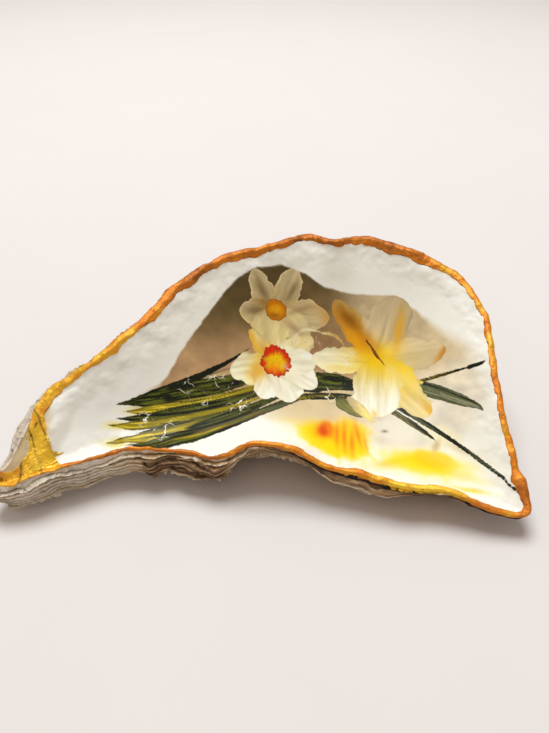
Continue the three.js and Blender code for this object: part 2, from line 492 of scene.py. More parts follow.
class EffectLibrary:
    """Builds each shared effect once."""

    def __init__(self) -> None:
        """Builds the node groups."""
        self.trees = {
            Effect.MOTTLE: self._mottle(),
            Effect.STREAKS: self._streaks(),
            Effect.SPECKS: self._specks(),
        }

    def use(self, w: Wiring, effect: Effect, inputs: dict) -> bpy.types.Node:
        """Places an effect in a material."""
        return w.group(self.trees[effect], inputs)

    @staticmethod
    def _start(effect: Effect, numbers: dict[str, float], outputs: tuple[str, ...]) -> tuple:
        """Makes an empty group with a Vector input, number inputs and number outputs."""
        tree = bpy.data.node_groups.new(effect.value, "ShaderNodeTree")
        tree.interface.new_socket("Vector", in_out="INPUT", socket_type="NodeSocketVector")
        for name, value in numbers.items():
            socket = tree.interface.new_socket(name, in_out="INPUT", socket_type="NodeSocketFloat")
            socket.default_value = value
        for name in outputs:
            tree.interface.new_socket(name, in_out="OUTPUT", socket_type="NodeSocketFloat")
        wiring = Wiring(tree)
        return wiring, wiring.add("NodeGroupInput"), wiring.add("NodeGroupOutput")

    def _mottle(self) -> bpy.types.NodeTree:
        """Cloudy patches of two sizes, sharpened by Contrast."""
        w, source, sink = self._start(Effect.MOTTLE, {"Scale": 100.0, "Contrast": 1.0}, ("Mask",))
        coarse = w.noise(source.outputs["Vector"], 5.0, 5.0, 0.6)
        self.follow_scale(w, coarse, source.outputs["Scale"], 1.0)
        fine = w.noise(source.outputs["Vector"], 5.0, 3.0, 0.6)
        self.follow_scale(w, fine, source.outputs["Scale"], 3.7)
        both = w.plus(w.times(coarse, 0.65), w.times(fine, 0.35))
        self.sharpen(w, both, source, sink)
        return w.tree

    def _streaks(self) -> bpy.types.NodeTree:
        """Fine lines that run along the vector's X and Y and repeat along its Z."""
        w, source, sink = self._start(Effect.STREAKS, {"Scale": 1.0, "Contrast": 1.0}, ("Mask",))
        lines = w.noise(source.outputs["Vector"], 1.0, 5.0, 0.65)
        self.follow_scale(w, lines, source.outputs["Scale"], 1.0)
        self.sharpen(w, lines, source, sink)
        return w.tree

    def _specks(self) -> bpy.types.NodeTree:
        """Small scattered dots, of the given Amount."""
        w, source, sink = self._start(Effect.SPECKS, {"Scale": 400.0, "Amount": 0.1}, ("Mask",))
        cells = w.add("ShaderNodeTexVoronoi", {"Vector": source.outputs["Vector"]}, feature="F1")
        w.feed(cells.inputs["Scale"], source.outputs["Scale"])
        pick = w.add("ShaderNodeSeparateColor", {0: cells.outputs["Color"]}).outputs[0]
        chosen = w.math("LESS_THAN", pick, source.outputs["Amount"])
        dot = w.span(cells.outputs["Distance"], 0.30, 0.16)
        w.feed(sink.inputs["Mask"], w.times(chosen, dot))
        return w.tree

    @staticmethod
    def follow_scale(w: Wiring, output: Socket, scale: Socket, factor: float) -> None:
        """Sets a noise node's scale from a group input."""
        w.feed(output.node.inputs["Scale"], w.times(scale, factor))

    @staticmethod
    def sharpen(w: Wiring, value: Socket, source: bpy.types.Node, sink: bpy.types.Node) -> None:
        """Spreads a value about its middle by the group's Contrast and hands it out as the Mask."""
        centred = w.times(w.minus(value, 0.5), source.outputs["Contrast"])
        node = w.add("ShaderNodeMath", {0: centred, 1: 0.5}, operation="ADD", use_clamp=True)
        w.feed(sink.inputs["Mask"], node.outputs[0])


# Finishes -----------------------------------------------------------------------------------


def new_material(name: str) -> tuple[bpy.types.Material, Wiring, bpy.types.Node]:
    """Makes a material with one Principled shader.

    Args:
        name: the finish's name.
    Returns:
        The material, its wiring and its shader node.
    """
    material = bpy.data.materials.new(name)
    material.use_nodes = True
    material.node_tree.nodes.clear()
    w = Wiring(material.node_tree)
    shader = w.add("ShaderNodeBsdfPrincipled")
    w.add("ShaderNodeOutputMaterial", {"Surface": shader.outputs[0]})
    return material, w, shader


@dataclass(frozen=True)
class RawShellFinish:
    """Chalky layered shell, cream to purple-brown, with painted shade between its growth plates and in its
    pits.
    """

    effects: EffectLibrary
    cream: tuple = linear(242, 220, 182)
    white: tuple = linear(252, 242, 222)
    tan: tuple = linear(206, 166, 114)
    grey: tuple = linear(174, 140, 104)
    umber: tuple = linear(84, 58, 40)
    # Colour of the painted shade in the plates' recesses, the pits and the gap under the lip.
    crevice_shade_and_cracks: tuple = linear(30, 19, 12)

    def build(self) -> bpy.types.Material:
        """Builds the material."""
        material, w, shader = new_material("raw_shell")
        place = w.place()
        strata = w.attribute("strata", "Vector")
        mottle = self.effects.use(w, Effect.MOTTLE, {"Vector": place, "Scale": 90.0, "Contrast": 2.4})
        lines = self.effects.use(w, Effect.STREAKS, {"Vector": strata, "Scale": 2.6, "Contrast": 2.6})
        fine = self.effects.use(w, Effect.STREAKS, {"Vector": strata, "Scale": 8.0, "Contrast": 3.0})
        tone = w.attribute("tone")
        blend = w.plus(w.times(tone, 0.72), w.times(lines.outputs[0], 0.34))
        colour = w.ramp(blend, (0.20, self.white), (0.40, self.cream), (0.54, self.tan),
                        (0.66, self.grey), (0.84, self.umber))
        colour = w.mix(w.times(mottle.outputs[0], 0.35), colour, self.tan)
        colour = w.mix(w.span(fine.outputs[0], 0.62, 0.95, 0.0, 0.7), colour, self.umber)
        # Painted shade: the crevice colour darkens the plates' recesses, the pits and the gap under the lip.
        colour = w.mix(w.attribute("crevice_shade_and_cracks"), colour, self.crevice_shade_and_cracks)
        w.feed(shader.inputs["Base Color"], colour)
        w.feed(shader.inputs["Roughness"], w.span(mottle.outputs[0], 0.0, 1.0, 0.55, 0.85))
        shader.inputs["Specular IOR Level"].default_value = 0.35
        grit = w.plus(w.times(fine.outputs[0], 0.5), w.noise(place, 900.0, 5.0, 0.7))
        relief = w.plus(w.times(lines.outputs[0], 0.8), grit)
        bump = w.add("ShaderNodeBump", {"Strength": 0.55, "Distance": 0.0007, "Height": relief})
        w.feed(shader.inputs["Normal"], bump.outputs[0])
        return material


@dataclass(frozen=True)
class GoldPaintFinish:
    """Metallic gold paint, brushed on by hand: deep amber where thick, bright yellow where thin."""

    effects: EffectLibrary
    deep: tuple = linear(156, 84, 14)
    amber: tuple = linear(224, 132, 14)
    yellow: tuple = linear(255, 208, 54)
    crevice_shade_and_cracks: tuple = linear(84, 44, 14)

    def build(self) -> bpy.types.Material:
        """Builds the material."""
        material, w, shader = new_material("gold_paint")
        place = w.place()
        mottle = self.effects.use(w, Effect.MOTTLE, {"Vector": place, "Scale": 110.0, "Contrast": 2.6})
        specks = self.effects.use(w, Effect.SPECKS, {"Vector": place, "Scale": 900.0, "Amount": 0.10})
        brushed = w.times(w.attribute("tone"), 0.7)
        shade = w.plus(brushed, w.times(mottle.outputs[0], 0.45))
        colour = w.ramp(shade, (0.15, self.deep), (0.50, self.amber), (0.90, self.yellow))
        colour = w.mix(w.attribute("crevice_shade_and_cracks"), colour, self.crevice_shade_and_cracks)
        colour = w.mix(w.times(specks.outputs[0], 0.6), colour, self.crevice_shade_and_cracks)
        w.feed(shader.inputs["Base Color"], colour)
        shader.inputs["Metallic"].default_value = 0.35
        w.feed(shader.inputs["Roughness"], w.span(mottle.outputs[0], 0.0, 1.0, 0.6, 0.36))
        relief = w.plus(mottle.outputs[0], w.noise(place, 1400.0, 4.0, 0.6))
        bump = w.add("ShaderNodeBump", {"Strength": 0.5, "Distance": 0.0004, "Height": relief})
        w.feed(shader.inputs["Normal"], bump.outputs[0])
        return material


@dataclass(frozen=True)
class PrintedPaintFinish:
    """White paint with a printed paper bonded into it, under a clear varnish."""

    effects: EffectLibrary
    paper_tear: tuple = linear(250, 246, 226)
    vein: tuple = linear(120, 96, 50)

    def build(self) -> bpy.types.Material:
        """Builds the material."""
        material, w, shader = new_material("painted_print")
        place = w.place()
        mottle = self.effects.use(w, Effect.MOTTLE, {"Vector": place, "Scale": 160.0, "Contrast": 2.0})
        fibre = w.noise(place, 2600.0, 3.0, 0.7)
        ragged = w.times(w.minus(w.noise(place, 700.0, 3.0, 0.6), 0.5), 0.7)
        colour = w.attribute("ground", "Color")
        for layer in ("leaf", "petal", "heart"):
            edge = w.plus(w.attribute(f"{layer}_edge"), ragged)
            colour = w.mix(w.span(edge, -0.16, 0.16), colour, w.attribute(layer, "Color"))
        inked = w.attribute("inked")
        dust = w.times(w.span(mottle.outputs[0], 0.35, 1.0), w.times(inked, 0.05))
        dusty = w.mix(dust, colour, self.vein)
        cracks = w.add("ShaderNodeTexVoronoi", {"Vector": self._wobble(w, place), "Scale": 210.0},
                       feature="DISTANCE_TO_EDGE")
        torn = w.times(w.span(cracks.outputs["Distance"], 0.045, 0.015), w.attribute("crackle"))
        colour = w.mix(torn, dusty, self.paper_tear)
        w.feed(shader.inputs["Base Color"], colour)
        w.feed(shader.inputs["Roughness"], w.span(mottle.outputs[0], 0.0, 1.0, 0.34, 0.46))
        shader.inputs["Specular IOR Level"].default_value = 0.15
        shader.inputs["Coat Weight"].default_value = 0.06
        shader.inputs["Coat Roughness"].default_value = 0.12
        relief = w.plus(w.times(mottle.outputs[0], 0.6), w.times(fibre, 0.2))
        relief = w.plus(relief, w.times(torn, 0.5))
        bump = w.add("ShaderNodeBump", {"Strength": 0.10, "Distance": 0.0005, "Height": relief})
        w.feed(shader.inputs["Normal"], bump.outputs[0])
        return material

    @staticmethod
    def _wobble(w: Wiring, place: Socket) -> Socket:
        """The point on the object, shaken so that straight lines wander."""
        shaken = w.add("ShaderNodeTexNoise", {"Vector": place, "Scale": 350.0, "Detail": 3.0})
        centred = w.add("ShaderNodeVectorMath", {0: shaken.outputs["Color"], 1: (0.5, 0.5, 0.5)},
                        operation="SUBTRACT")
        small = w.add("ShaderNodeVectorMath", {0: centred.outputs[0], "Scale": 0.004}, operation="SCALE")
        return w.add("ShaderNodeVectorMath", {0: place, 1: small.outputs[0]}, operation="ADD").outputs[0]


@dataclass(frozen=True)
class FloorFinish:
    """Plain pale matt board."""

    effects: EffectLibrary
    pale: tuple = linear(236, 231, 228)
    shade: tuple = linear(230, 225, 222)

    def build(self) -> bpy.types.Material:
        """Builds the material."""
        material, w, shader = new_material("pale_board")
        mottle = self.effects.use(w, Effect.MOTTLE, {"Vector": w.place(), "Scale": 6.0, "Contrast": 1.2})
        w.feed(shader.inputs["Base Color"], w.mix(mottle.outputs[0], self.pale, self.shade))
        shader.inputs["Roughness"].default_value = 0.8
        return material


# The shell body -----------------------------------------------------------------------------


@dataclass
class GrowthPlates:
    """The thin overlapping plates of the shell's outside, as a height above its smooth belly."""

    edge_pitch: float = 1.25
    belly_plates: float = 22.0
    beak_pull: float = 0.9
    # How far the plates' edges wander, in plates, and over how many millimetres: broadly and finely.
    broad_wander: tuple[float, float] = (1.5, 19.0)
    fine_wander: tuple[float, float] = (0.45, 3.6)
    layer_lift: float = 1.7
    seed: int = 11
    plate_kinds: int = 256
    noise: Noise = field(init=False)
    strength: Array = field(init=False)
    shade: Array = field(init=False)

    def __post_init__(self) -> None:
        """Draws each plate's strength and shade."""
        self.noise = Noise(self.seed)
        rng = np.random.default_rng(self.seed + 1)
        self.strength = rng.uniform(0.35, 1.0, self.plate_kinds)
        self.shade = rng.uniform(0.0, 1.0, self.plate_kinds)

    def age(self, fraction: Array, angle: Array, depth: Array, edge: Array) -> Array:
        """How many plates lie between a place and the margin.

        Args:
            fraction: way from the hub (0) to the margin (1).
            angle: direction from the hub, with the beak at half a turn.
            depth: way down the lip's edge face, 0 to 1.
            edge: height of that face in millimetres.
        Returns:
            The age in plates, older towards the beak.
        """
        pull = self.beak_pull
        square = 1.0 - pull * pull
        straight = 2.0 * pull * fraction * np.cos(angle) + 2.0
        behind = np.maximum(straight**2 - 4.0 * square * (1.0 - fraction**2), 0.0)
        inward = (straight - np.sqrt(behind)) / (2.0 * square)
        return edge / self.edge_pitch * depth + self.belly_plates * inward

    def relief(self, points: Array, age: Array, fade: Array) -> tuple[Array, Array, Array]:
        """Height, shade and painted crevice shade of the plates.

        Args:
            points: places on the smooth outside.
            age: their age in plates.
            fade: how much relief is left near the lip, 0 to 1.
        Returns:
            Height in millimetres, shade (0 pale to 1 dark: each plate's own tone, plus painted shade towards
            its lower part) and crevice shade (0 to 1, painted shade in the recess before the next plate's
            edge).
        """
        layered = points + age[..., None] * self.layer_lift * UP
        broad, fine = self.broad_wander, self.fine_wander
        wander = broad[0] * self.noise.layered(points, broad[1], 3)
        wander = wander + fine[0] * self.noise.layered(layered, fine[1], 3)
        plate = age + wander * fade
        number = np.floor(plate)
        within = plate - number
        pick = number.astype(int) % self.plate_kinds
        patch = np.clip(0.8 + 0.9 * self.noise.layered(layered + number[..., None] * 5.1, 5.0, 3), 0.1, 1.8)
        strength = (0.25 + 1.5 * self.strength[pick] ** 3) * patch
        step = (1.0 - within) ** 1.6 - 0.45 * smoothstep(0.6, 0.95, within)
        # Painted shade: the recess just before the next plate's proud edge is darkened.
        crevice_shade_and_cracks = smoothstep(0.5, 0.9, within) * np.clip(0.4 + 0.6 * strength, 0.0, 1.0)
        cloud = 0.5 + 0.5 * self.noise.layered(layered, 5.0, 3)
        # Paler at the plate's proud edge and darker behind it: partly painted shade, partly each plate's own
        # tone and clouds.
        shade = 0.40 * smoothstep(0.02, 0.5, within) + 0.34 * self.shade[pick] + 0.26 * cloud
        return strength * step * fade, shade, crevice_shade_and_cracks * fade


@dataclass
class Valve:
    """The grown shell: its raw outside in full, and its hidden hollow in plain."""

    form: ShellForm
    plates: GrowthPlates
    columns: int = 640
    edge_rows: int = 40
    belly_rows: int = 86
    hollow_fractions: tuple = (0.04, 0.12, 0.22, 0.32, 0.42, 0.52, 0.61, 0.69, 0.76, 0.82, 0.87)
    hollow_insets: tuple = (6.5, 4.8, 3.4, 2.3, 1.4, 0.8, 0.35)
    lip_steps: tuple = (0.0, 0.33, 0.67, 1.0)
    ring_crowding: float = 0.75
    film_room: float = 0.12
    deep_room: float = 0.9
    sharp_angle: float = math.radians(48.0)

    def build(self, finish: RawShellFinish) -> bpy.types.Object:
        """Builds the piece and dresses it."""
        turn = np.arange(self.columns) / self.columns
        lip = self.form.lip(turn)
        hollow = self.hollow_rows(lip)
        crown = self.crown_rows(lip)
        outside, paint = self.outside_rows(turn)
        grid = Grid(np.concatenate([hollow, crown, outside]), closed=True)
        inside = len(hollow) + len(crown)
        for key, values in paint.items():
            shape = (inside,) + values.shape[1:]
            first = np.repeat(values[:1], inside, 0).reshape(shape)
            target = grid.vectors if values.ndim == 3 else grid.floats
            target[key] = np.concatenate([first, values])
        cells = grid.cells()
        uv = self.unrolled(grid, cells, inside - 1)
        piece = build_object("oyster_shell", grid, cells, uv, ((0, False), (len(grid.points) - 1, True)))
        piece.data.set_sharp_from_angle(angle=self.sharp_angle)
        piece.data.materials.append(finish.build())
        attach(piece, "root")
        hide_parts("shell")
        return piece

    def hollow_rows(self, lip: LipSection) -> Array:
        """The hollow's rows, from its middle to the lip, just under the paint."""
        hub = np.array(self.form.hub) + self.form.shift
        reach = lip.inner[:, :2] - hub
        length = np.linalg.norm(reach, axis=1)
        shares = [np.full(self.columns, fraction) for fraction in self.hollow_fractions]
        shares += [1.0 - inset / length for inset in self.hollow_insets]
        plan = np.stack([hub + reach * share[:, None] for share in shares])
        height = self.form.hollow_height(plan.reshape(-1, 2)).reshape(plan.shape[:2])
        inset = (1.0 - np.stack(shares)) * length
        sunk = self.film_room + self.deep_room * smoothstep(0.0, 2.0, inset)
        return self.form.rippled(np.concatenate([plan, height[..., None]], -1)) - sunk[..., None] * UP

    def crown_rows(self, lip: LipSection) -> Array:
        """The rows across the flat of the lip."""
        rows = [crown_points(lip, share) for share in self.lip_steps]
        return self.form.rippled(np.stack(rows)) - self.film_room * UP

    def outside_rows(self, turn: Array) -> tuple[Array, dict]:
        """The rows of the raw outside, down the edge face and across the belly."""
        depth = (np.arange(self.edge_rows) + 1) / self.edge_rows
        ring = (1.0 - (np.arange(self.belly_rows) + 1) / (self.belly_rows + 1)) ** self.ring_crowding
        return RawOutside(self.form, self.plates).build(turn, depth, ring)

    @staticmethod
    def unrolled(grid: Grid, cells: Array, lip_row: int) -> Array:
        """Map places that unroll the outside into one disc and the hidden hollow into a small one."""
        corners = grid.corners(cells)
        columns = grid.points.shape[1]
        steps = np.linalg.norm(np.diff(grid.points, axis=0), axis=2)
        from_hollow = np.vstack([np.zeros(columns), np.cumsum(steps, 0)])
        plan = grid.points[lip_row, :, :2] - grid.points[:, :, :2].mean((0, 1))
        direction = plan / np.linalg.norm(plan, axis=1)[:, None]
        outside = direction[None] * (from_hollow[-1] - from_hollow)[..., None]
        inside = direction[None] * from_hollow[..., None]
        outside_uv = fit_box(outside, outside[lip_row:], (0.005, 0.005), (0.99, 0.74))
        inside_uv = fit_box(inside, inside[: lip_row + 1], (0.3, 0.76), (0.4, 0.23))
        row, column = corners[..., 0], corners[..., 1] % columns
        is_outside = (cells[:, 0] >= lip_row)[:, None, None]
        return np.where(is_outside, outside_uv[row, column], inside_uv[row, column])


def fit_box(places: Array, kept: Array, corner: tuple, size: tuple) -> Array:
    """Scales flat places so that the kept ones fill a box on the map."""
    low, high = kept.min((0, 1)), kept.max((0, 1))
    return (places - low) / (high - low) * np.array(size) + np.array(corner)


def crown_points(lip: LipSection, share: float) -> Array:
    """Points across the slightly rounded flat of the lip, from its inner edge (0) to its top (1)."""
    return lerp(lip.inner, lip.top, share) + CROWN_HEIGHT * math.sin(math.pi * share) * UP


@dataclass(frozen=True)
class Patch:
    """Where a mark lies along the near wall (millimetres).

    Each zone is the pair of values between which the mark grows from nothing to its full strength:
    along x from the left and from the right, down from the lip, and inward from the wall's foot.
    """

    left: Zone
    below: Zone
    reach: Zone
    right: Zone | None = None
    above: Zone | None = None

    def share(self, x: Array, below_lip: Array, inward: Array) -> Array:
        """How strongly the mark shows at places with these coordinates."""
        zones = ((self.left, x), (self.right, x), (self.below, below_lip), (self.above, below_lip),
                 (self.reach, inward))
        share = np.ones(x.shape)
        for zone, value in zones:
            if zone:
                share = share * smoothstep(*zone, value)
        return share


@dataclass
class Marks:
    """How strongly each mark of growth and wear shows at each point of the outside, 0 to 1."""

    fade: Array
    near: Array
    lumpy: Array
    undercut: Array
    hanging: Array
    gap: Array
    tucked: Array
    pits: Array


@dataclass
class RawOutside:
    """The shell's raw outside: growth plates, folds, and the marks along its near wall (millimetres).

    A zone is the pair of values between which something grows from nothing to its full strength.
    """

    form: ShellForm
    plates: GrowthPlates
    bulge_share: float = 1.0 / 16.0
    belly_reach: float = 60.0
    lip_zone: Zone = (0.15, 1.1)
    near_zone: Zone = (-8.0, -22.0)
    fold_height: float = 1.1
    fold_size: float = 17.0
    fold_zone: Zone = (0.0, 5.0)
    # The lumpy pitted pocket below the near edge's left half.
    pocket: Patch = Patch((-38.0, -32.0), (2.2, 4.5), (26.0, 8.0), right=(-8.0, -13.0))
    lump_height: float = 1.6
    lump_swing: float = 2.2
    lump_size: float = 6.5
    pit_depth: float = 1.3
    pit_size: float = 2.0
    pit_zone: Zone = (0.05, 0.40)
    # The wall tucked back under the scallop, and the gap under the lip beside it, darkened with painted
    # shade.
    undercut: Patch = Patch((-11.0, -6.0), (0.8, 2.2), (14.0, 2.0))
    undercut_height: float = 1.5
    gap: Patch = Patch((4.0, 12.0), (0.7, 1.2), (5.0, 2.0), above=(2.9, 2.0))
    gap_height: float = 0.5
    # The pale loose flakes that hang below the gap, and the thin wall drawn in at the open end.
    flakes: Patch = Patch((13.0, 22.0), (1.6, 4.0), (9.0, 2.0), right=(42.0, 36.0))
    flake_height: float = 1.6
    flake_swing: float = 0.8
    flake_size: float = 4.0
    tuck_height: float = 0.5
    tuck_left: Zone = (48.0, 64.0)
    tuck_reach: Zone = (9.0, 3.0)
    # How deep the wall may be carved: at most, and as a share of its thickness less a margin.
    carving_limit: float = 0.9
    carving_share: float = 0.4
    carving_margin: float = 0.2
    belly_zone: Zone = (4.0, 14.0)
    scar_zone: Zone = (1.2, 0.3)
    strata_radius: float = 4.5

    def build(self, turn: Array, depth: Array, ring: Array) -> tuple[Array, dict]:
        """Shapes and paints the outside.

        Args:
            turn: places round the margin, one for each column.
            depth: ways down the lip's edge face, 0 to 1, one for each row.
            ring: ways from the hub to the foot of that face, 1 to 0, one for each further row.
        Returns:
            The points, and what is painted on them.
        """
        lip = self.form.lip(turn)
        rows, fraction, depths = self.smooth_rows(lip, depth, ring)
        room = self.wall_room(rows)
        base = self.form.rippled(np.concatenate(rows))
        age = self.ages(lip, fraction, depths)
        below_lip = depths * lip.edge[None]
        inward = (1.0 - fraction) * self.belly_reach
        marks = self.marks(base, below_lip, inward)
        relief, shade, crevice_shade_and_cracks = self.plates.relief(base, age, marks.fade)
        offset = np.maximum(self.offset(base, relief, below_lip + inward, marks), -room)
        normal = Grid(base, closed=True).normals()
        normal[: len(depth)] = np.stack([lip.out[:, 0], lip.out[:, 1], 0.0 * lip.edge], -1)[None]
        points = base + normal * offset[..., None]
        points[..., 2] = np.maximum(points[..., 2] - self.flake_height * marks.hanging, 0.0)
        around = 2.0 * math.pi * turn
        strata = np.stack([np.repeat(self.strata_radius * np.cos(around)[None], len(base), 0),
                           np.repeat(self.strata_radius * np.sin(around)[None], len(base), 0), age], -1)
        scar = smoothstep(*self.scar_zone, points[..., 2])
        belly = smoothstep(*self.belly_zone, inward)
        tone = self.tone(base, shade, below_lip, inward, marks)
        cloud = self.plates.noise.layered(base + 200.0, 16.0, 4)
        tone = lerp(tone + belly * (0.45 * cloud - 0.06), 0.34 + 0.3 * cloud, 0.8 * scar)
        # Less crevice shade on the near wall, painted light making up for the little lamp light there; less
        # on the belly and the scar.
        crevice_shade_and_cracks = crevice_shade_and_cracks * lerp(lerp(1.0, 0.6, marks.near), 0.4, belly) * (1.0 - 0.8 * scar)
        # Painted shade added in the carved pits and in the gap under the lip.
        crevice_shade_and_cracks = crevice_shade_and_cracks + 0.9 * marks.pits + marks.gap
        paint = {"tone": tone.clip(0.0, 1.0), "crevice_shade_and_cracks": crevice_shade_and_cracks.clip(0.0, 1.0), "strata": strata}
        return points, paint

    def smooth_rows(self, lip: LipSection, depth: Array, ring: Array) -> tuple[list, Array, Array]:
        """Rows of the edge face and the belly, with their ways from the hub and down the face."""
        columns = len(lip.edge)
        bulge = np.sin(math.pi * depth)[:, None] * (lip.edge * self.bulge_share)[None, :]
        face = lerp(lip.top[None], lip.foot[None], depth[:, None, None])
        face[..., :2] += lip.out[None] * bulge[..., None]
        rows = [face]
        fractions = [np.ones((len(depth), columns))]
        depths = [np.repeat(depth[:, None], columns, 1)]
        if len(ring):
            hub = np.array(self.form.hub) + self.form.shift
            plan = hub + (lip.foot[None, :, :2] - hub) * ring[:, None, None]
            height = self.form.belly_height(plan.reshape(-1, 2)).reshape(plan.shape[:2])
            rows.append(np.concatenate([plan, height[..., None]], -1))
            fractions.append(np.repeat(ring[:, None], columns, 1))
            depths.append(np.ones((len(ring), columns)))
        return rows, np.concatenate(fractions), np.concatenate(depths)

    def wall_room(self, rows: list) -> Array:
        """How deep the outside may be carved before it gets near the hollow, face rows first."""
        rooms = [np.full(rows[0].shape[:2], self.carving_limit)]
        for belly in rows[1:]:
            inside = self.form.hollow_height(belly[..., :2].reshape(-1, 2)).reshape(belly.shape[:2])
            room = self.carving_share * (inside - belly[..., 2]) - self.carving_margin
            rooms.append(np.clip(room, 0.0, self.carving_limit))
        return np.concatenate(rooms)

    def ages(self, lip: LipSection, fraction: Array, depths: Array) -> Array:
        """Age in plates of every point."""
        hub = np.array(self.form.hub)
        toward = lip.top[:, :2] - (hub + self.form.shift)
        angle = np.arctan2(toward[:, 1], toward[:, 0]) - math.atan2(*(BEAK[::-1] - hub)) + math.pi
        return self.plates.age(fraction, np.repeat(angle[None], len(fraction), 0), depths, lip.edge[None])

    def marks(self, base: Array, below_lip: Array, inward: Array) -> Marks:
        """Finds where each mark shows."""
        local = base[..., :2] - self.form.shift
        x = local[..., 0]
        fade = smoothstep(*self.lip_zone, below_lip)
        near = smoothstep(*self.near_zone, local[..., 1])
        lumpy, undercut, hanging, gap = (near * patch.share(x, below_lip, inward) for patch in
                                         (self.pocket, self.undercut, self.flakes, self.gap))
        tucked = smoothstep(*self.tuck_left, x) * smoothstep(*self.tuck_reach, inward)
        hollows = smoothstep(*self.pit_zone, self.plates.noise.layered(base + 150.0, self.pit_size, 2))
        return Marks(fade, near, lumpy, undercut, hanging, gap, tucked, hollows * (0.2 + 0.8 * lumpy) * fade)

    def offset(self, base: Array, relief: Array, from_lip: Array, marks: Marks) -> Array:
        """How far every point stands out from the smooth form."""
        noise = self.plates.noise
        fold = self.fold_height * noise.layered(base + 40.0, self.fold_size, 3)
        fold = fold * smoothstep(*self.fold_zone, from_lip)
        lumps = self.lump_height + self.lump_swing * noise.layered(base + 90.0, self.lump_size, 3)
        lumps = marks.lumpy * lumps
        offset = relief + fold + np.maximum(lumps, -0.5 * marks.lumpy)
        offset = offset - self.pit_depth * marks.pits - self.undercut_height * marks.undercut
        drawn_in = np.minimum(offset, 0.0) - self.tuck_height * marks.fade
        offset = lerp(offset, drawn_in, marks.tucked) - self.gap_height * marks.gap
        flake = self.flake_height + self.flake_swing * noise.layered(base + 120.0, self.flake_size, 3)
        return offset + marks.hanging * flake

    def tone(self, base: Array, shade: Array, below_lip: Array, inward: Array, marks: Marks) -> Array:
        """How dark every point is: pale near the beak and the lip, with painted shade darkest under the near
        edge and the near wall painted lighter where little light reaches it.
        """
        x = base[..., 0] - self.form.shift[0]
        pale = smoothstep(-34.0, -50.0, x)
        # Painted shade under the near edge: the right half of the near wall, close to its foot.
        dark = marks.near * smoothstep(-9.0, 6.0, x) * smoothstep(16.0, 3.0, inward)
        scallop = smoothstep(6.5, 8.5, below_lip + 2.0 * self.plates.noise.layered(base + 70.0, 5.0, 2))
        tone = shade + marks.lumpy * lerp(0.34, -0.5, scallop) - 0.5 * pale + 0.34 * dark
        tone = tone - 0.45 * smoothstep(1.4, 0.2, below_lip) - 0.45 * marks.hanging
        # Painted light: the near wall outside the lumpy pocket is made paler where the lamp barely reaches
        # it.
        return tone - 0.16 * marks.near * (1.0 - marks.lumpy)


# Gold paint ---------------------------------------------------------------------------------


